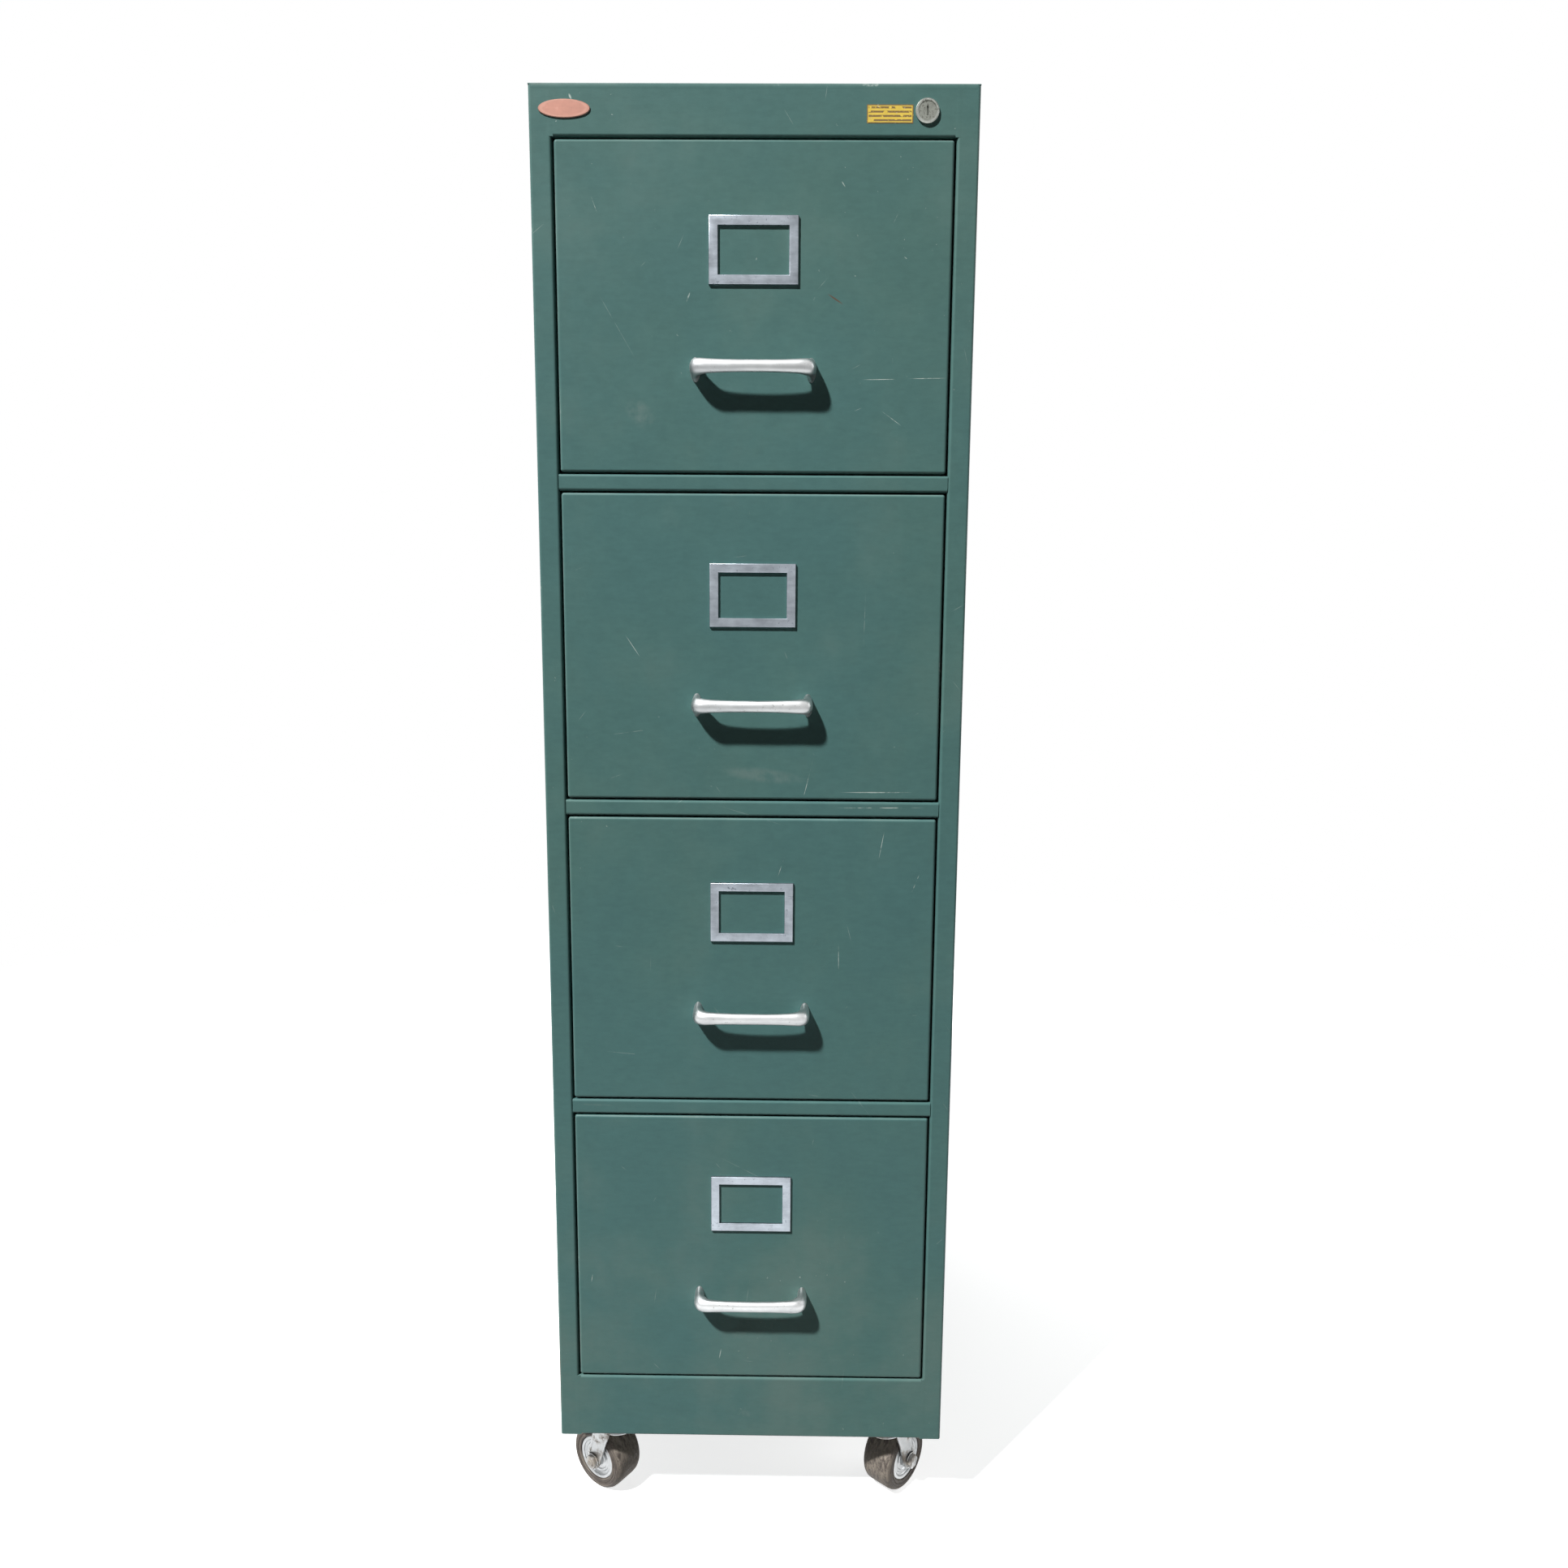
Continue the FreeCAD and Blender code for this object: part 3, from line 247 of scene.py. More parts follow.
class CabinetSizes(bpy.types.PropertyGroup):
    """Sizes of the pieces that are modelled here."""

    sticker_width: length("Sticker width", 41.0, "Across the sticker")
    sticker_height: length("Sticker height", 15.4, "Up the sticker")
    sticker_corner: length("Sticker corner", 0.5, "Radius of the sticker's corners")
    sticker_from_middle: length("Sticker place", 120.2, "From the case's middle to its own")
    sticker_drop: length("Sticker drop", 23.9, "From the top of the case to the sticker's middle")
    sticker_sheet: length("Sticker sheet", 0.18, "Thickness of the sticker")
    brow_clear: length("Brow clearance", 3.0, "From a corner to the end of the top filler")
    label_border: length("Label border", 8.5, "Width of a label frame's band")
    label_rounding: length("Label rounding", 1.1, "Rounded front edges of a label frame")
    pull_segments: IntProperty(name="Pull segments", default=16, min=8, max=64,
                               description="Vertices round a pull's section")
    wheel_steps: IntProperty(name="Wheel steps", default=72, min=24, max=128,
                             description="Steps round a wheel")
    leg_eye: length("Leg eye", 9.0, "Radius of a fork leg's lower end")
    leg_top: length("Leg top", 11.0, "Half of a fork leg's width at the crown")
    leg_lean: length("Leg lean", 13.0, "From the axle back to the middle of a leg's top")
    leg_inside: length("Leg inside", 19.5, "From the wheel's middle to a leg's inner face")
    leg_sheet: length("Leg sheet", 2.6, "Thickness of a fork leg")
    leg_height: length("Leg height", 76.4, "From the floor to a fork leg's upper end")
    leg_bevel: length("Leg bevel", 0.5, "Rounded edges of the fork")
    recess_border: length("Recess border", 2.4, "From a leg's outline to its pressed recess")
    recess_slope: length("Recess slope", 0.8, "Width of the recess's sloping sides")
    recess_depth: length("Recess depth", 0.7, "Depth of the recess")
    hexagon: length("Hexagon", 13.0, "Across the flats of the axle's head and nut")
    hexagon_bevel: length("Hexagon bevel", 0.45, "Rounded edges of the head and nut")


class StudioSettings(bpy.types.PropertyGroup):
    """Light and backdrop."""

    key_power: FloatProperty(name="Key", default=1650.0, min=0.0, subtype="POWER", unit="POWER",
                             description="Main softbox, from the upper left in front")
    key_size: FloatProperty(name="Key size", default=0.5, min=0.0, subtype="DISTANCE",
                            unit="LENGTH", description="Side of the main softbox")
    fill_power: FloatProperty(name="Fill", default=62.0, min=0.0, subtype="POWER", unit="POWER",
                              description="Each of the two large fill lamps")
    ambient: share("Ambient", 0.009, "Light that the surroundings throw on the cabinet")
    floor_glow: share("Floor glow", 0.78, "Brightness that the floor keeps in the shadow")


class Value:
    """An output socket that sums can use: each operator adds its Math node."""

    def __init__(self, tree, socket):
        self.tree = tree
        self.socket = socket

    def math(self, operation, *terms):
        """A Math node on these terms."""
        return self.tree.node("ShaderNodeMath", {"operation": operation}, dict(enumerate(terms)))

    def twin(self, name):
        """Another output of the same node."""
        return Value(self.tree, self.socket.node.outputs[name])

    def __add__(self, other):
        return self.math("ADD", self, other)

    def __sub__(self, other):
        return self.math("SUBTRACT", self, other)

    def __rsub__(self, other):
        return self.math("SUBTRACT", other, self)

    def __mul__(self, other):
        return self.math("MULTIPLY", self, other)

    __rmul__ = __mul__

    def __truediv__(self, other):
        return self.math("DIVIDE", self, other)

    def __abs__(self):
        return self.math("ABSOLUTE", self)

    def least(self, other):
        """The smaller of two values."""
        return self.math("MINIMUM", self, other)

    def most(self, other):
        """The larger of two values."""
        return self.math("MAXIMUM", self, other)


class Nodes:
    """A node tree that starts empty and gets every node from node()."""

    def __init__(self, tree):
        self.tree = tree
        tree.nodes.clear()

    def node(self, kind, settings=(), sockets=()):
        """Adds a node: settings first, then each socket's value or link."""
        made = self.tree.nodes.new(kind)
        for setting, value in dict(settings).items():
            setattr(made, setting, value)
        for key, value in dict(sockets).items():
            named = (socket for socket in made.inputs if socket.enabled and socket.name == key)
            socket = made.inputs[key] if isinstance(key, int) else next(named)
            if isinstance(value, Value):
                self.tree.links.new(value.socket, socket)
            elif socket.type == "RGBA":
                socket.default_value = (*value, 1.0)
            else:
                socket.default_value = value
        shown = [socket for socket in made.outputs if socket.enabled]
        return Value(self, shown[0]) if shown else None

    def seen(self):
        """1 for rays from the camera, also those by way of a reflection or a clear piece."""
        straight = self.node("ShaderNodeLightPath")
        bent = straight.twin("Is Glossy Ray")
        return straight.most(bent).most(straight.twin("Is Transmission Ray"))


class Finish(Nodes):
    """A procedural material that reads Object coordinates, in metres."""

    def __init__(self, name):
        self.material = bpy.data.materials.new(name)
        self.material.use_nodes = True
        super().__init__(self.material.node_tree)
        self.place = self.node("ShaderNodeTexCoord").twin("Object")
        self.colours = bpy.context.scene.cabinet_colours

    def noise(self, scale, detail=2.0, rough=0.5, at=None, warp=0.0):
        """Cloudy noise from 0 to 1."""
        return self.node("ShaderNodeTexNoise", (), {
            "Vector": at or self.place, "Scale": scale, "Detail": detail, "Roughness": rough,
            "Distortion": warp})

    def span(self, value, start, end):
        """Rises smoothly from 0 at start to 1 at end."""
        return self.node("ShaderNodeMapRange", {"interpolation_type": "SMOOTHSTEP"}, {
            "Value": value, "From Min": start, "From Max": end})

    def mix(self, factor, first, second):
        """Goes from the first colour to the second."""
        return self.node("ShaderNodeMix", {"data_type": "RGBA"}, {
            "Factor": factor, "A": first, "B": second})

    def vector(self, operation, *terms):
        """A Vector Math node on these terms."""
        return self.node("ShaderNodeVectorMath", {"operation": operation}, dict(enumerate(terms)))

    def gathered(self, **parts):
        """A vector from its X, Y and Z, which are zero where none is given."""
        return self.node("ShaderNodeCombineXYZ", (), parts)

    def scaled(self, colour, factor):
        """A colour made lighter or darker."""
        return self.node("ShaderNodeVectorMath", {"operation": "SCALE"}, {
            0: colour, "Scale": factor})

    def placed(self, centre=(0, 0, 0), turn=(0, 0, 0), scale=(1, 1, 1)):
        """The place as measured from a centre, along turned axes, in these lengths."""
        return self.node("ShaderNodeMapping", {"vector_type": "TEXTURE"}, {
            "Vector": self.place, "Location": centre, "Rotation": turn, "Scale": scale})

    def parts(self, vector):
        """The three parts of a vector."""
        first = self.node("ShaderNodeSeparateXYZ", (), {"Vector": vector})
        return first, first.twin("Y"), first.twin("Z")

    def stroke(self, start_x, start_z, end_x, end_z, width):
        """A mask of one tapered mark on the front, in millimetres."""
        along = Vector((end_x - start_x, end_z - start_z))
        centre = ((start_x + end_x) / 2 * MM, FRONT, (start_z + end_z) / 2 * MM)
        turn = -math.atan2(along.y, along.x)
        scale = (along.length / 2 * MM, 4 * MM, width / 2 * MM)
        reach = self.vector("LENGTH", self.placed(centre, (0, turn, 0), scale))
        return self.span(reach, 1.0, 0.35)

    def edge_distance(self, low, high):
        """How far a point on a box's skin is from the box's nearest edge."""
        offset = self.vector("ABSOLUTE", self.vector("SUBTRACT", self.place, (low + high) / 2))
        x, y, z = self.parts(self.vector("SUBTRACT", (high - low) / 2, offset))
        return x.least(y).most(x.most(y).least(z))

    def scratches(self, scale, width, reach, kept):
        """Straight scratches at any angle on the front, one in some cells of a Voronoi pattern."""
        cell = self.node("ShaderNodeTexVoronoi", (), {"Vector": self.place, "Scale": scale})
        x, y, z = self.parts(self.vector("SUBTRACT", self.place, cell.twin("Position")))
        chance, turn, share = self.parts(cell.twin("Color"))
        angle = turn * math.pi
        cos, sin = angle.math("COSINE", angle), angle.math("SINE", angle)
        across = self.span(abs(x * sin - z * cos), width, width * 0.3)
        along = self.span(abs(x * cos + z * sin), reach * (share * 0.7 + 0.3), 0.0)
        return across * along * self.span(chance, 1.0 - kept, 1.02 - kept)

    def surface(self, colour, roughness, height, metallic=0.0, specular=0.5):
        """Joins the shader: all but the specular level may vary; the height is in metres."""
        normal = self.node("ShaderNodeBump", (), {"Strength": 1.0, "Distance": 1.0,
                                                  "Height": height})
        shader = self.node("ShaderNodeBsdfPrincipled", (), {
            "Base Color": colour, "Roughness": roughness, "Normal": normal, "Metallic": metallic,
            "Specular IOR Level": specular})
        self.node("ShaderNodeOutputMaterial", (), {"Surface": shader})
        return self.material


def enamel(name, marks, edges, wear_and_highlight):
    """Worn satin enamel: cloudy tone, dust, scratches, chipped edges and single marks; also a painted highlight
    line along the edges and painted glints of light under the pulls.
    """
    f = Finish(name)
    cloud = f.noise(scale=2.6, detail=3.0, rough=0.55)
    drift = f.noise(scale=11.0, detail=4.0, rough=0.6)
    grain = f.noise(scale=75.0, detail=3.0, rough=0.7)
    level = f.noise(scale=240.0, detail=3.0, rough=0.7, at=f.placed(scale=(3, 1, 1)))
    upright = f.noise(scale=14.0, detail=3.0, rough=0.6, at=f.placed(scale=(1, 1, 7)))
    low = f.span(f.parts(f.place)[2], 0.62, 0.12)
    near = f.edge_distance(*edges)

    smear = f.span(drift * 0.5 + cloud * 0.3 + upright * 0.3 + low * 0.05, 0.52, 0.78)
    dust = smear * (low * 0.22 + 0.16)
    long_ones = f.scratches(scale=9.0, width=0.4 * MM, reach=50 * MM, kept=0.16)
    short_ones = f.scratches(scale=31.0, width=0.4 * MM, reach=12 * MM, kept=0.10)
    scratch = long_ones.most(short_ones) * f.span(grain, 0.36, 0.6) * 0.3
    speck = f.span(f.noise(scale=210.0, rough=0.6), 0.735, 0.78) * f.span(cloud, 0.42, 0.62)
    chips = f.span(f.noise(scale=95.0, detail=3.0, rough=0.7), 0.57, 0.66)
    chips = chips * f.span(drift, 0.52, 0.66) * 0.7
    pale = scratch.most(speck * 0.55).most(f.span(near, 2.0 * MM, 0.6 * MM) * chips)
    # A faint pale line along every edge: worn edges, and also a painted highlight where the rounded edges catch
    # the light.
    pale = pale.most(f.span(near, 1.5 * MM, 0.3 * MM) * f.span(drift, 0.3, 0.6) * wear_and_highlight)
    bare = f.span(near, 1.3 * MM, 0.3 * MM) * f.span(upright, 0.56, 0.66) * (wear_and_highlight + 0.1)
    for *line, kind in marks:
        stroke = f.stroke(*line)
        if kind == "dusty":
            # Dust; under the pulls on the drawers' fronts also a painted glint of light thrown by the pulls.
            dust = dust.most(stroke * f.span(grain + drift, 0.8, 1.25) * 0.34)
        elif kind == "pale":
            pale = pale.most(stroke * f.span(grain, 0.36, 0.56))
        elif kind == "rust":
            bare = bare.most(stroke * f.span(grain, 0.2, 0.5))
        else:
            bare = bare.most(stroke * 0.85)

    warmth = f.span(cloud + drift * 0.35, 0.48, 0.86)
    tone = f.mix(warmth, f.colours.enamel_cool, f.colours.enamel_warm)
    tone = f.scaled(tone, drift * 0.16 + grain * 0.16 + level * 0.22 + low * 0.05 + 0.71)
    tone = f.mix(dust, tone, f.colours.enamel_dust_and_glint)
    tone = f.mix(pale, tone, f.colours.primer_and_highlight)
    tone = f.mix(bare, tone, f.colours.rust)
    rough = grain * 0.14 + drift * 0.10 + dust * 0.5 + pale * 0.2 + 0.30
    peel = f.noise(scale=850.0) * (30 * MICRON) + level * (40 * MICRON)
    dents = f.noise(scale=4.5, rough=0.4) * (500 * MICRON)
    height = peel + dents - pale * (80 * MICRON) + dust * (20 * MICRON)
    return f.surface(tone, rough, height, specular=0.16)


def inner_paint(name, colour, rubbing):
    """Plainer sprayed paint inside the case, rubbed and covered in dust."""
    f = Finish(name)
    drift = f.noise(scale=8.0, detail=4.0, rough=0.6)
    grain = f.noise(scale=90.0, detail=3.0, rough=0.7)
    runs = f.noise(scale=30.0, detail=3.0, rough=0.6, at=f.placed(scale=(1, 9, 1)))
    dust = f.span(drift + grain * 0.3, 0.6, 0.95) * 0.3
    rubbed = f.span(runs, 0.66, 0.74) * rubbing
    tone = f.scaled(colour, drift * 0.25 + grain * 0.15 + 0.80)
    tone = f.mix(dust, tone, f.colours.enamel_dust_and_glint)
    tone = f.mix(rubbed, tone, f.colours.primer_and_highlight)
    height = grain * (30 * MICRON) + drift * (200 * MICRON) - rubbed * (40 * MICRON)
    return f.surface(tone, grain * 0.15 + dust * 0.4 + 0.38, height)


def polished_cast(name, low, high):
    """Polished cast metal: clouding, fine scratches, pits, painted shade darkening the lower half, and grime."""
    f = Finish(name)
    y, z = f.parts(f.place)[1:]
    drift = f.noise(scale=70.0, detail=3.0, rough=0.6)
    brushed = f.noise(scale=260.0, detail=3.0, rough=0.6, at=f.placed(scale=(9, 1, 1)))
    pits = f.span(f.noise(scale=420.0, rough=0.6), 0.66, 0.74)
    clouds = f.noise(scale=28.0, detail=4.0, rough=0.65, at=f.placed(scale=(2.5, 1, 1)))
    blotch = f.span(clouds, 0.42, 0.66)
    grime = f.span(y, FRONT - 4.5 * MM, FRONT - 0.4 * MM) * f.span(drift, 0.25, 0.6)
    middle = (low.z + high.z) / 2
    # Painted shade: the lower half of each bar is darkened as if turned away from the light.
    painted_shade_below = f.span(z + drift * (2 * MM), middle + 4 * MM, middle - 2 * MM)
    tone = f.scaled(f.colours.pull, drift * 0.22 + brushed * 0.22 + 0.76)
    tone = f.mix(blotch * 0.28, tone, f.colours.tarnish)
    tone = f.mix(painted_shade_below * 0.52, tone, f.colours.pull_painted_shade)
    tone = f.mix(pits * 0.6, tone, f.colours.cast_pits)
    tone = f.mix(grime * 0.45, tone, f.colours.grime)
    rough = brushed * 0.16 + drift * 0.10 + blotch * 0.12 + grime * 0.2 + 0.22
    height = drift * (70 * MICRON) + brushed * (12 * MICRON) - pits * (50 * MICRON)
    return f.surface(tone, rough, height, metallic=1.0)


def bright_trim(name, colour, along, spots):
    """Brushed bright sheet with dull blotches and dark specks."""
    f = Finish(name)
    brushed = f.noise(scale=300.0, detail=3.0, rough=0.65, at=f.placed(scale=along))
    drift = f.noise(scale=45.0, detail=4.0, rough=0.65)
    speck = f.span(f.noise(scale=330.0, rough=0.6), 0.62, 0.70) * f.span(drift, 0.42, 0.6)
    tone = f.scaled(colour, brushed * 0.5 + drift + 0.26)
    tone = f.mix(speck * spots, tone, f.colours.specks)
    rough = brushed * 0.16 + drift * 0.14 + speck * 0.2 + 0.20
    height = brushed * (12 * MICRON) + drift * (40 * MICRON) - speck * (30 * MICRON)
    return f.surface(tone, rough, height, metallic=1.0)


def zinc_plate(name, dirt_share):
    """Bright zinc plating with a spangle, dull patches and settled dirt."""
    f = Finish(name)
    spangle = f.node("ShaderNodeTexVoronoi", (), {"Vector": f.place, "Scale": 420.0})
    drift = f.noise(scale=60.0, detail=4.0, rough=0.65)
    grain = f.noise(scale=500.0, rough=0.6)
    dirt = f.span(drift + grain * 0.3, 0.62, 0.86) * dirt_share
    tone = f.scaled(f.colours.zinc, drift * 0.5 + spangle * 0.14 + grain * 0.10 + 0.66)
    tone = f.mix(dirt, tone, f.colours.dirt)
    rough = drift * 0.2 + grain * 0.1 + dirt * 0.4 + 0.20
    height = grain * (20 * MICRON) + drift * (60 * MICRON) + dirt * (40 * MICRON)
    return f.surface(tone, rough, height, metallic=1.0 - dirt * 0.9)


def tyre_rubber(name, centre, yaw):
    """Old rubber: dust-covered, with scuffs across the tread and bands worn round its sides."""
    f = Finish(name)
    x, y, z = f.parts(f.placed(centre, (0, 0, yaw)))
    radius = f.vector("LENGTH", f.gathered(Y=y, Z=z))
    angle = z.math("ARCTAN2", z, y)
    across = f.gathered(X=x * 260.0, Y=angle * 3.4)
    scuffs = f.noise(scale=1.0, detail=4.0, rough=0.7, at=across, warp=0.5)
    ringed = f.noise(scale=1.0, rough=0.6, at=f.gathered(X=radius * 900.0, Y=angle * 0.8))
    drift = f.noise(scale=26.0, detail=4.0, rough=0.65)
    grain = f.noise(scale=480.0, detail=3.0, rough=0.7)
    tread = f.span(radius, 31.6 * MM, 33.8 * MM)
    dust = f.span(scuffs * 0.9 + drift * 0.4 + grain * 0.2, 0.62, 0.86) * (tread * 0.75 + 0.15)
    dust = dust.most(f.span(ringed, 0.50, 0.60) * (1.0 - tread) * 0.55)
    tone = f.mix(dust, f.scaled(f.colours.rubber, drift * 0.9 + 0.7), f.colours.dirt)
    rough = grain * 0.2 + dust * 0.2 + 0.5
    height = scuffs * (220 * MICRON) + grain * (60 * MICRON) + ringed * (100 * MICRON)
    return f.surface(tone, rough, height)


def sticker_paper(name, middle):
    """Yellow paper with a darker border and plain ruled lines, rubbed and faded."""
    sizes = bpy.context.scene.cabinet_sizes
    row_height, dash = 3.5 * MM, 4 * MM
    f = Finish(name)
    x, _, z = f.parts(f.placed(middle))
    half_x, half_z = sizes.sticker_width / 2, sizes.sticker_height / 2
    inside = (half_x - abs(x)).least(half_z - abs(z))
    border = f.span(inside, 1.1 * MM, 0.7 * MM)
    row = z / row_height
    ruled = f.span(abs(row.math("FRACT", row) - 0.5), 0.28, 0.20)
    ruled = ruled * f.span(inside, 1.4 * MM, 1.8 * MM)
    dashes = f.noise(scale=1.0, detail=0.0, at=f.placed(middle, scale=(dash, 1, row_height)))
    wobble = f.noise(scale=900.0, rough=0.6)
    printed = border.most(ruled * f.span(dashes, 0.32, 0.38)) * f.span(wobble, 0.20, 0.40)
    faded = f.noise(scale=160.0, detail=3.0, rough=0.6)
    scuffed = f.span(f.noise(scale=260.0, detail=3.0, rough=0.7), 0.62, 0.7) * 0.5
    tone = f.scaled(f.colours.sticker, faded * 0.4 + 0.88)
    tone = f.mix(printed * 0.9, tone, f.colours.ink)
    tone = f.mix(scuffed, tone, f.colours.scuffs)
    height = wobble * (10 * MICRON) - scuffed * (20 * MICRON)
    return f.surface(tone, faded * 0.2 + 0.42, height)


def oval_plate(name):
    """Bare copper-coloured plate, brushed and rubbed, with a faint line inside its dark edge."""
    low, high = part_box("oval_badge")
    half = (high - low) / 2
    f = Finish(name)
    reach = f.vector("LENGTH", f.placed((low + high) / 2, scale=(half.x, 1.0, half.z)))
    rim = f.span(abs(reach - 0.86), 0.075, 0.03)
    brushed = f.noise(scale=320.0, detail=3.0, rough=0.6, at=f.placed(scale=(7, 1, 1)))
    drift = f.noise(scale=120.0, detail=4.0, rough=0.65)
    tone = f.scaled(f.colours.badge, brushed * 0.25 + drift * 0.5 + 0.62)
    tone = f.mix(f.span(drift, 0.62, 0.76) * 0.25, tone, f.colours.badge_worn)
    tone = f.mix(rim * 0.06, tone, f.colours.badge_rim)
    tone = f.mix(f.span(reach, 0.93, 1.0) * 0.6, tone, f.colours.badge_edge)
    rough = brushed * 0.2 + drift * 0.2 + 0.36
    height = rim * (10 * MICRON) + brushed * (10 * MICRON) + drift * (40 * MICRON)
    return f.surface(tone, rough, height, metallic=0.35)


def dull_lock(name, centre):
    """Dull plated lock face with turned rings, pits and a paler rim."""
    f = Finish(name)
    x, _, z = f.parts(f.placed(centre))
    radius = f.vector("LENGTH", f.gathered(X=x, Z=z))
    drift = f.noise(scale=260.0, detail=4.0, rough=0.7)
    turned = f.noise(scale=1.0, at=f.gathered(X=radius * 3200.0))
    pits = f.span(f.noise(scale=430.0, detail=3.0, rough=0.7), 0.54, 0.66)
    rim = f.span(radius, 8.2 * MM, 9.0 * MM)
    tone = f.scaled(f.colours.lock, drift * 0.6 + turned * 0.25 + 0.55)
    tone = f.mix(rim * 0.25, tone, f.colours.lock_rim)
    tone = f.mix(pits * (1.0 - rim * 0.4) * 0.85, tone, f.colours.lock_pits)
    height = turned * (20 * MICRON) + drift * (100 * MICRON) - pits * (60 * MICRON)
    return f.surface(tone, drift * 0.3 + 0.22, height, metallic=0.9)


def paint(names, material):
    """Gives CAD nodes their material."""
    for name in names:
        slots = frame["nodes"][name].data.materials
        slots.clear()
        slots.append(material)


def piece(name, bm, body, material, stands_for=(), crease_angle=35):
    """Turns a bmesh into a piece of the cabinet that rides on a body."""
    mesh = bpy.data.meshes.new(name)
    bm.to_mesh(mesh)
    bm.free()
    mesh.shade_smooth()
    mesh.set_sharp_from_angle(angle=math.radians(crease_angle))
    mesh.materials.append(material)
    made = bpy.data.objects.new(name, mesh)
    bpy.context.scene.collection.objects.link(made)
    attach(made, body)
    if stands_for:
        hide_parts(*stands_for)
    return made


def lathe(profile, steps):
    """Turns a profile about the X axis: a ring, or a solid where it starts and ends on the axis."""
    bm = bmesh.new()
    points = [bm.verts.new((along * MM, 0, radius * MM)) for along, radius in profile]
    followers = points[1:] if profile[0][1] == 0 else points[1:] + points[:1]
    edges = [bm.edges.new(ends) for ends in zip(points, followers)]
    bmesh.ops.spin(bm, geom=points + edges, cent=(0, 0, 0), axis=(1, 0, 0), angle=math.tau,
                   steps=steps, use_merge=True)
    bmesh.ops.remove_doubles(bm, verts=bm.verts, dist=MICRON)
    bmesh.ops.recalc_face_normals(bm, faces=bm.faces)
    return bm


def both_sides(profile):
    """A half profile with its mirror."""
    return [*profile, *((-along, radius) for along, radius in reversed(profile))]


def joined(*parts):
    """Several bmeshes as one."""
    whole = bmesh.new()
    for part in parts:
        mesh = bpy.data.meshes.new("part")
        part.to_mesh(mesh)
        part.free()
        whole.from_mesh(mesh)
        bpy.data.meshes.remove(mesh)
    return whole


def bevel_all(bm, edges, width, segments=2):
    """Rounds edges."""
    bmesh.ops.bevel(bm, geom=edges, offset=width, offset_type="OFFSET", affect="EDGES",
                    segments=segments, profile=0.5, material=-1, clamp_overlap=True)


def sharp_edges(bm, degrees=60):
    """Edges whose faces meet at more than this angle."""
    return [edge for edge in bm.edges
            if len(edge.link_faces) == 2 and edge.calc_face_angle() > math.radians(degrees)]


def raise_faces(bm, faces, offset):
    """Draws faces out by an offset, with walls round them."""
    raised = bmesh.ops.extrude_face_region(bm, geom=faces)["geom"]
    moved = [item for item in raised if isinstance(item, bmesh.types.BMVert)]
    bmesh.ops.translate(bm, verts=moved, vec=offset)


def add_strip(bm, outline, run):
    """Adds a filler strip: an outline drawn out along its run."""
    raise_faces(bm, [bm.faces.new([bm.verts.new(corner) for corner in outline])], run)


def bezel_mesh(low, high, border, rounding):
    """A label frame in its CAD box: a flat band whose outer and inner front edges are rounded."""
    bm = bmesh.new()
    loops = []
    for inset in (0, border):
        corners = ((low.x + inset, low.z + inset), (high.x - inset, low.z + inset),
                   (high.x - inset, high.z - inset), (low.x + inset, high.z - inset))
        ring = [bm.verts.new((x, high.y, z)) for x, z in corners]
        loops += [bm.edges.new(ends) for ends in zip(ring, ring[1:] + ring[:1])]
    bmesh.ops.bridge_loops(bm, edges=loops)
    raise_faces(bm, list(bm.faces), (0, low.y - high.y, 0))
    bmesh.ops.recalc_face_normals(bm, faces=bm.faces)
    front = [edge for edge in sharp_edges(bm)
             if max(vertex.co.y for vertex in edge.verts) < (low.y + high.y) / 2]
    bevel_all(bm, front, rounding, 4)
    return bm


def pull_mesh(low, high, segments):
    """A cast pull in its CAD box: rings along its path, bridged, with closed feet."""
    half = (high.x - low.x) / 2
    reach = high.y - low.y
    foot = high.z - low.z
    # Subdivision draws a ring of this many corners in, and this factor makes up for it.
    roundness = 3 / (2 + math.cos(math.tau / segments))
    rows = [(1, *row) for row in PULL_SECTIONS]
    rows += [(-1, *row) for row in reversed(PULL_SECTIONS[:-1])]
    bm = bmesh.new()
    creases = bm.edges.layers.float.new("crease_edge")
    loops = []
    for side, sideways, outwards, tall, thick, turn in rows:
        made = bmesh.ops.create_circle(bm, segments=segments, radius=1.0)
        ring = made["verts"]
        bmesh.ops.scale(bm, verts=ring,
                        vec=(foot * thick / 2 * roundness, foot * tall / 2 * roundness, 1))
        bmesh.ops.rotate(bm, verts=ring, matrix=Matrix.Rotation(math.radians(90), 3, "X"))
        bmesh.ops.rotate(bm, verts=ring,
                         matrix=Matrix.Rotation(-side * math.radians(turn), 3, "Z"))
        bmesh.ops.translate(bm, verts=ring, vec=(
            (low.x + high.x) / 2 + side * half * sideways, high.y - reach * outwards,
            (low.z + high.z) / 2))
        members = set(ring)
        loops.append([edge for edge in bm.edges if members.issuperset(edge.verts)])
    for first, second in zip(loops, loops[1:]):
        bmesh.ops.bridge_loops(bm, edges=first + second)
    for end in (loops[0], loops[-1]):
        bmesh.ops.holes_fill(bm, edges=end, sides=segments)
        for edge in end:
            edge[creases] = 1.0
    bmesh.ops.recalc_face_normals(bm, faces=bm.faces)
    return bm


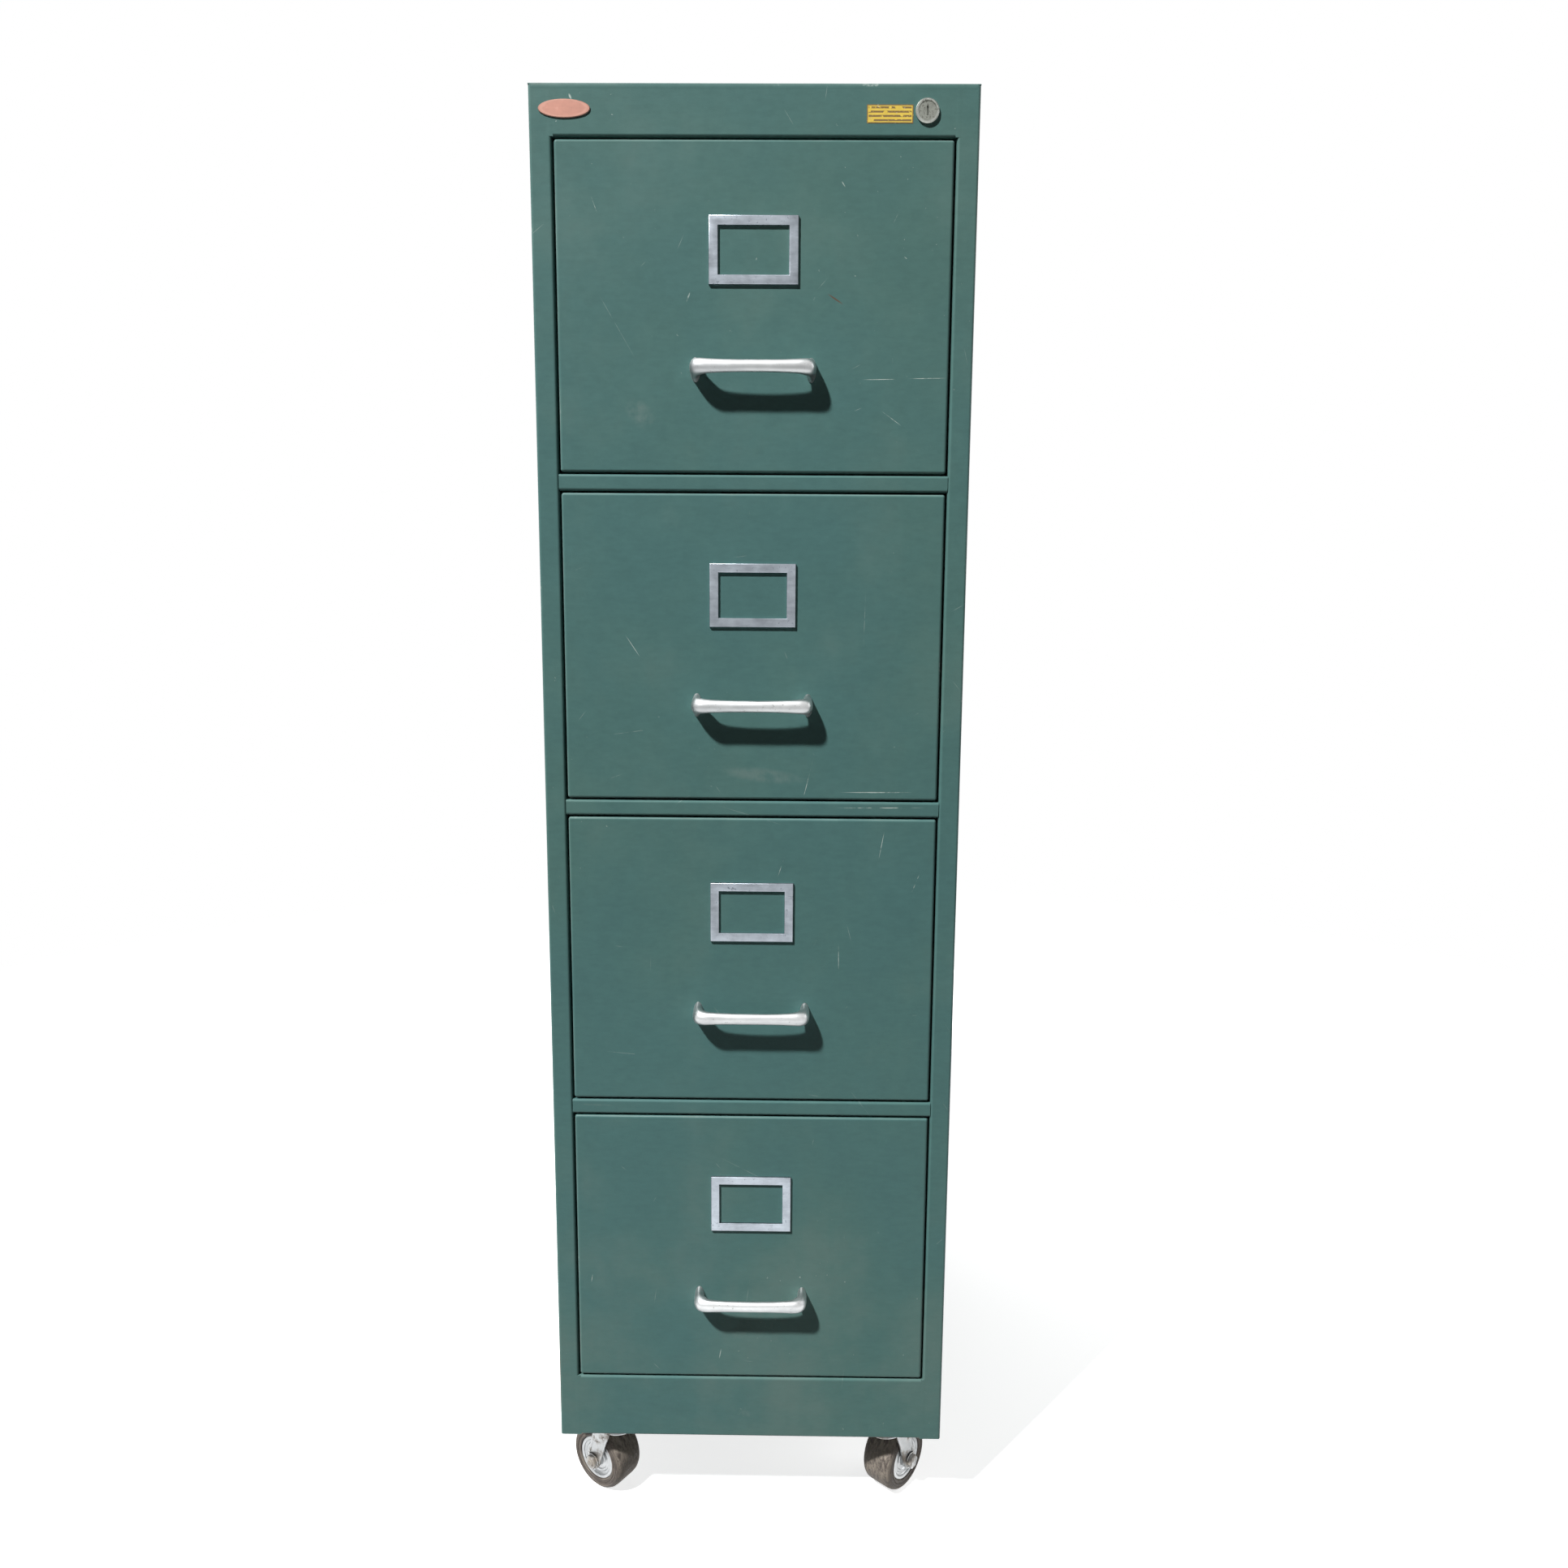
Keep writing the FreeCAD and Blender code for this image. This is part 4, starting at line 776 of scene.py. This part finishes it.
def fork_leg(sizes, top):
    """One leg in the wheel's frame: tapered, with a round lower end and a pressed recess."""
    bm = bmesh.new()
    for x in (sizes.leg_inside, sizes.leg_inside + sizes.leg_sheet):
        across = Matrix.Translation((x, 0, 0)) @ Matrix.Rotation(math.radians(90), 4, "Y")
        bmesh.ops.create_circle(bm, segments=EYE_STEPS, radius=sizes.leg_eye, matrix=across)
        for y in (-sizes.leg_top - sizes.leg_lean, sizes.leg_top - sizes.leg_lean):
            bm.verts.new((x, y, top))
    bmesh.ops.convex_hull(bm, input=bm.verts)
    bmesh.ops.dissolve_limit(bm, angle_limit=math.radians(1), verts=bm.verts, edges=bm.edges)
    outer = max(bm.faces, key=lambda face: face.calc_center_median().x)
    bmesh.ops.inset_region(bm, faces=[outer], thickness=sizes.recess_border, depth=0)
    bmesh.ops.inset_region(bm, faces=[outer], thickness=sizes.recess_slope,
                           depth=-sizes.recess_depth)
    bmesh.ops.recalc_face_normals(bm, faces=bm.faces)
    bevel_all(bm, sharp_edges(bm), sizes.leg_bevel)
    return bm


def hexagon(across, start, end, rounding):
    """A hexagonal head along X, with bevelled edges."""
    bm = bmesh.new()
    radius = across / 2 / math.cos(math.pi / 6)
    matrix = Matrix.Translation(((start + end) / 2 * MM, 0, 0)) @ Matrix.Rotation(
        math.radians(90), 4, "Y")
    bmesh.ops.create_cone(bm, cap_ends=True, segments=6, radius1=radius, radius2=radius,
                          depth=abs(end - start) * MM, matrix=matrix)
    bevel_all(bm, list(bm.edges), rounding)
    return bm


def caster_yaw(caster):
    """How far a wheel's axle is turned about the vertical at rest."""
    x, y, _ = joint(f"caster_{caster}_roll")["axis"]
    return math.atan2(y, x)


def set_caster(bm, caster, place):
    """Turns a mesh as its caster stands, and moves it to a place there."""
    bmesh.ops.rotate(bm, verts=bm.verts, matrix=Matrix.Rotation(caster_yaw(caster), 3, "Z"))
    bmesh.ops.translate(bm, verts=bm.verts, vec=place)
    return bm


class CabinetOperator:
    """What the cabinet's operators share."""

    bl_options = {"REGISTER", "UNDO"}


class CABINET_OT_enamel(CabinetOperator, bpy.types.Operator):
    """Paints the case and the drawer fronts with worn enamel"""

    bl_idname = "cabinet.enamel"
    bl_label = "Enamel"

    def execute(self, context):
        case = (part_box("left_side_panel")[0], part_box("right_side_panel")[1])
        finish = enamel("Enamel of the case", FRONT_MARKS["case"], case, CASE_WEAR_AND_HIGHLIGHT)
        paint(nodes_of("case_paint"), finish)
        for drawer in DRAWERS:
            front = f"drawer_front_{drawer}"
            paint([front], enamel(f"Enamel of drawer {drawer}", FRONT_MARKS[front],
                                  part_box(front), FRONT_WEAR_AND_HIGHLIGHT))
        return {"FINISHED"}


class CABINET_OT_seams(CabinetOperator, bpy.types.Operator):
    """Fills the header's and the plinth's joints to the stiles and the top sheet, ground flush"""

    bl_idname = "cabinet.seams"
    bl_label = "Seams"

    def execute(self, context):
        bm = bmesh.new()
        rail_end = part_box("header_rail")[1]
        for rail in ("header_rail", "base_plinth"):
            low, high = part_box(rail)
            for side in (-1, 1):
                foot = [(side * (rail_end.x + across * MM), FRONT + behind * MM, low.z)
                        for across, behind in SEAM_PROFILE]
                add_strip(bm, foot, (0, 0, high.z - low.z))
        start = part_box("left_side_panel")[0].x + context.scene.cabinet_sizes.brow_clear
        brow = [(start, FRONT + behind * MM, rail_end.z + up * MM) for up, behind in BROW_PROFILE]
        add_strip(bm, brow, (-2 * start, 0, 0))
        bmesh.ops.recalc_face_normals(bm, faces=bm.faces)
        case = bpy.data.materials["Enamel of the case"]
        piece("ground_seams", bm, "case", case)
        return {"FINISHED"}


class CABINET_OT_interior(CabinetOperator, bpy.types.Operator):
    """Finishes the trays, slides, uprights and lock train"""

    bl_idname = "cabinet.interior"
    bl_label = "Interior"

    def execute(self, context):
        colours = context.scene.cabinet_colours
        paint(nodes_of("tray_paint"), inner_paint("Tray enamel", colours.enamel_cool, 0.25))
        paint(nodes_of("inner_steel"), inner_paint("Inner steel paint", colours.steel, 0.4))
        paint(nodes_of("slide_zinc"), zinc_plate("Slide zinc", 0.25))
        return {"FINISHED"}


class CABINET_OT_pulls(CabinetOperator, bpy.types.Operator):
    """Models the four cast pulls"""

    bl_idname = "cabinet.pulls"
    bl_label = "Pulls"

    def execute(self, context):
        for drawer in DRAWERS:
            node = f"drawer_handle_{drawer}"
            metal = polished_cast(f"Cast metal of pull {drawer}", *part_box(node))
            bm = pull_mesh(*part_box(node), context.scene.cabinet_sizes.pull_segments)
            made = piece(f"cast_pull_{drawer}", bm, f"drawer_{drawer}", metal,
                         [node], ALL_SMOOTH)
            smooth = made.modifiers.new("Round", "SUBSURF")
            smooth.levels = PULL_LEVELS
            smooth.render_levels = PULL_LEVELS
        return {"FINISHED"}


class CABINET_OT_trim(CabinetOperator, bpy.types.Operator):
    """Models the label frames, and finishes the oval plate and the lock"""

    bl_idname = "cabinet.trim"
    bl_label = "Trim"

    def execute(self, context):
        colours = context.scene.cabinet_colours
        sizes = context.scene.cabinet_sizes
        metal = bright_trim("Brushed bright metal", colours.label, along=(5, 1, 1), spots=0.7)
        for drawer in DRAWERS:
            node = f"label_frame_{drawer}"
            bm = bezel_mesh(*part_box(node), sizes.label_border, sizes.label_rounding)
            piece(f"label_bezel_{drawer}", bm, f"drawer_{drawer}", metal, [node])
        paint(nodes_of("badge_metal"), oval_plate("Copper plate"))
        paint(nodes_of("lock_metal"), dull_lock("Dull lock metal", joint("lock_turn")["pos_m"]))
        return {"FINISHED"}


class CABINET_OT_sticker(CabinetOperator, bpy.types.Operator):
    """Sticks the small yellow label beside the lock"""

    bl_idname = "cabinet.sticker"
    bl_label = "Sticker"

    def execute(self, context):
        sizes = context.scene.cabinet_sizes
        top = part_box("header_rail")[1].z
        middle = Vector((sizes.sticker_from_middle, FRONT, top - sizes.sticker_drop))
        bm = bmesh.new()
        upright = Matrix.Rotation(math.radians(90), 4, "X")
        size = Matrix.Diagonal((sizes.sticker_width / 2, sizes.sticker_height / 2, 1, 1))
        bmesh.ops.create_grid(bm, x_segments=1, y_segments=1, size=1,
                              matrix=Matrix.Translation(middle) @ upright @ size)
        bmesh.ops.bevel(bm, geom=list(bm.verts), offset=sizes.sticker_corner, affect="VERTICES",
                        segments=5, profile=0.5, material=-1)
        raise_faces(bm, list(bm.faces), (0, -sizes.sticker_sheet, 0))
        bmesh.ops.recalc_face_normals(bm, faces=bm.faces)
        piece("yellow_sticker", bm, "case", sticker_paper("Sticker paper", middle))
        return {"FINISHED"}


class CABINET_OT_casters(CabinetOperator, bpy.types.Operator):
    """Models the four swivel casters"""

    bl_idname = "cabinet.casters"
    bl_label = "Casters"

    def execute(self, context):
        sizes = context.scene.cabinet_sizes
        steps = sizes.wheel_steps
        zinc = zinc_plate("Caster zinc", 0.9)
        disc = bright_trim("Wheel disc metal", context.scene.cabinet_colours.zinc,
                           along=(1, 1, 1), spots=0.4)
        paint(["caster_plates"], zinc)
        for caster in CASTERS:
            swivel, wheel = f"swivel_{caster}", f"wheel_{caster}"
            middle = joint(f"caster_{caster}_roll")["pos_m"]
            rubber = tyre_rubber(f"Rubber of tyre {caster}", middle, caster_yaw(caster))
            tyre = set_caster(lathe(both_sides(TYRE_PROFILE), steps), caster, middle)
            piece(f"rubber_tyre_{caster}", tyre, wheel, rubber,
                  [f"caster_tyre_{caster}"], WHEEL_CREASE)
            hub = set_caster(lathe(both_sides(HUB_PROFILE), steps), caster, middle)
            piece(f"wheel_disc_{caster}", hub, wheel, disc,
                  [f"caster_hub_{caster}"], WHEEL_CREASE)
            yoke = self.fork_mesh(caster, middle, sizes)
            piece(f"caster_yoke_{caster}", yoke, swivel, zinc,
                  [f"caster_fork_{caster}"], FORK_CREASE)
            bolt = set_caster(self.bolt_mesh(sizes), caster, middle)
            piece(f"axle_bolt_{caster}", bolt, swivel, zinc,
                  [f"caster_axle_{caster}"], FORK_CREASE)
        return {"FINISHED"}

    def fork_mesh(self, caster, middle, sizes):
        """The crown with its kingpin, and the two legs."""
        crown = lathe(CROWN_PROFILE, sizes.wheel_steps)
        upright = Matrix.Rotation(math.radians(-90), 3, "Y")
        bmesh.ops.rotate(crown, verts=crown.verts, matrix=upright)
        kingpin = joint(f"caster_{caster}_swivel")["pos_m"]
        set_caster(crown, caster, (kingpin[0], kingpin[1], 0))
        right = fork_leg(sizes, sizes.leg_height - middle[2])
        left = right.copy()
        bmesh.ops.scale(left, vec=(-1, 1, 1), verts=left.verts)
        bmesh.ops.recalc_face_normals(left, faces=left.faces)
        return joined(crown, set_caster(joined(right, left), caster, middle))

    def bolt_mesh(self, sizes):
        """The bolt with its head, nut and washers, in the wheel's frame."""
        shaft = lathe(SHAFT_PROFILE, SHAFT_STEPS)
        head = hexagon(sizes.hexagon, *HEAD_SPAN, sizes.hexagon_bevel)
        nut = hexagon(sizes.hexagon, *NUT_SPAN, sizes.hexagon_bevel)
        right = lathe(WASHER_PROFILE, WASHER_STEPS)
        left = lathe([(-along, radius) for along, radius in WASHER_PROFILE], WASHER_STEPS)
        return joined(shaft, head, nut, right, left)


class CABINET_OT_studio(CabinetOperator, bpy.types.Operator):
    """Sets the floor, the surroundings, the lamps and the camera"""

    bl_idname = "cabinet.studio"
    bl_label = "Studio"

    def execute(self, context):
        settings = context.scene.cabinet_studio
        self.floor(settings)
        self.surroundings(context.scene, settings)
        key_place = LAMP_AIM + KEY_DIRECTION.normalized() * KEY_DISTANCE
        self.lamp("Key softbox", key_place, settings.key_size, settings.key_power)
        for name, place in FILL_PLACES.items():
            self.lamp(name, Vector(place), FILL_SIZE, settings.fill_power)
        self.camera(context.scene)
        context.scene.view_settings.view_transform = "Standard"
        return {"FINISHED"}

    def floor(self, settings):
        """A pale floor that is white to the eye and keeps the shadow."""
        bm = bmesh.new()
        bmesh.ops.create_grid(bm, x_segments=4, y_segments=4, size=FLOOR_HALF)
        mesh = bpy.data.meshes.new("studio_floor")
        bm.to_mesh(mesh)
        bm.free()
        made = bpy.data.objects.new("studio_floor", mesh)
        bpy.context.scene.collection.objects.link(made)
        material = bpy.data.materials.new("Studio floor")
        material.use_nodes = True
        mesh.materials.append(material)
        tree = Nodes(material.node_tree)
        dim = tree.node("ShaderNodeBsdfDiffuse", (), {"Color": FLOOR_THROWN})
        matt = tree.node("ShaderNodeBsdfDiffuse", (), {"Color": FLOOR_SEEN})
        glow = tree.node("ShaderNodeEmission", (), {"Strength": settings.floor_glow})
        lit = tree.node("ShaderNodeAddShader", (), {0: matt, 1: glow})
        place = tree.node("ShaderNodeTexCoord").twin("Object")
        away = tree.node("ShaderNodeVectorMath", {"operation": "LENGTH"}, {0: place})
        far = tree.node("ShaderNodeMapRange", {"interpolation_type": "SMOOTHSTEP"}, {
            "Value": away, "From Min": FLOOR_FADE[0], "From Max": FLOOR_FADE[1]})
        white = tree.node("ShaderNodeEmission", (), {"Strength": 1.0})
        faded = tree.node("ShaderNodeMixShader", (), {0: far, 1: lit, 2: white})
        shown = tree.node("ShaderNodeMixShader", (), {0: tree.seen(), 1: dim, 2: faded})
        tree.node("ShaderNodeOutputMaterial", (), {"Surface": shown})

    def surroundings(self, scene, settings):
        """White to the eye and in reflections, and a weak even light otherwise."""
        scene.world = bpy.data.worlds.new("Studio")
        scene.world.use_nodes = True
        tree = Nodes(scene.world.node_tree)
        weak = tree.node("ShaderNodeBackground", (), {
            "Strength": settings.ambient, "Color": WHITE})
        white = tree.node("ShaderNodeBackground", (), {"Strength": 1.0, "Color": WHITE})
        shown = tree.node("ShaderNodeMixShader", (), {0: tree.seen(), 1: weak, 2: white})
        tree.node("ShaderNodeOutputWorld", (), {"Surface": shown})

    def lamp(self, name, place, size, power):
        """A square softbox that faces the cabinet's front."""
        data = bpy.data.lights.new(name, "AREA")
        data.size = size
        data.energy = power
        made = bpy.data.objects.new(name, data)
        bpy.context.scene.collection.objects.link(made)
        made.location = place
        made.rotation_euler = (LAMP_AIM - place).to_track_quat("-Z", "Y").to_euler()

    def camera(self, scene):
        """The camera at the photograph's place and angle."""
        data = bpy.data.cameras.new("Photograph")
        data.lens = CAMERA_LENS
        data.sensor_width = CAMERA_SENSOR
        made = bpy.data.objects.new("Photograph", data)
        scene.collection.objects.link(made)
        turn = (Matrix.Rotation(-math.radians(CAMERA_ASIDE), 4, "Z")
                @ Matrix.Rotation(math.radians(90) - math.radians(CAMERA_DOWN), 4, "X")
                @ Matrix.Rotation(math.radians(CAMERA_ROLL), 4, "Z"))
        x, y, z = CAMERA_PLACE
        made.matrix_world = Matrix.Translation((x, FRONT + y, z)) @ turn
        scene.camera = made


class CABINET_PT_pieces(bpy.types.Panel):
    """Lists the cabinet's settings and operators"""

    bl_label = "Filing cabinet"
    bl_idname = "CABINET_PT_pieces"
    bl_space_type = "VIEW_3D"
    bl_region_type = "UI"
    bl_category = "Cabinet"

    def draw(self, context):
        for operator in OPERATORS:
            self.layout.operator(operator.bl_idname)
        for group in (context.scene.cabinet_colours, context.scene.cabinet_sizes,
                      context.scene.cabinet_studio):
            box = self.layout.box()
            for name in group.__annotations__:
                box.prop(group, name)


OPERATORS = (CABINET_OT_studio, CABINET_OT_enamel, CABINET_OT_seams, CABINET_OT_interior,
             CABINET_OT_pulls, CABINET_OT_trim, CABINET_OT_sticker, CABINET_OT_casters)
GROUPS = {"cabinet_colours": CabinetColours, "cabinet_sizes": CabinetSizes,
          "cabinet_studio": StudioSettings}


def register():
    """Registers the settings, the operators and the panel."""
    for group in (*GROUPS.values(), *OPERATORS, CABINET_PT_pieces):
        bpy.utils.register_class(group)
    for name, group in GROUPS.items():
        setattr(bpy.types.Scene, name, PointerProperty(type=group))


def unregister():
    """Takes everything back out."""
    for name in GROUPS:
        delattr(bpy.types.Scene, name)
    for group in (CABINET_PT_pieces, *OPERATORS, *GROUPS.values()):
        bpy.utils.unregister_class(group)


def main():
    """Builds the whole scene."""
    register()
    bpy.ops.cabinet.studio()
    bpy.ops.cabinet.enamel()
    bpy.ops.cabinet.seams()
    bpy.ops.cabinet.interior()
    bpy.ops.cabinet.pulls()
    bpy.ops.cabinet.trim()
    bpy.ops.cabinet.sticker()
    bpy.ops.cabinet.casters()


if __name__ == "__main__":
    main()
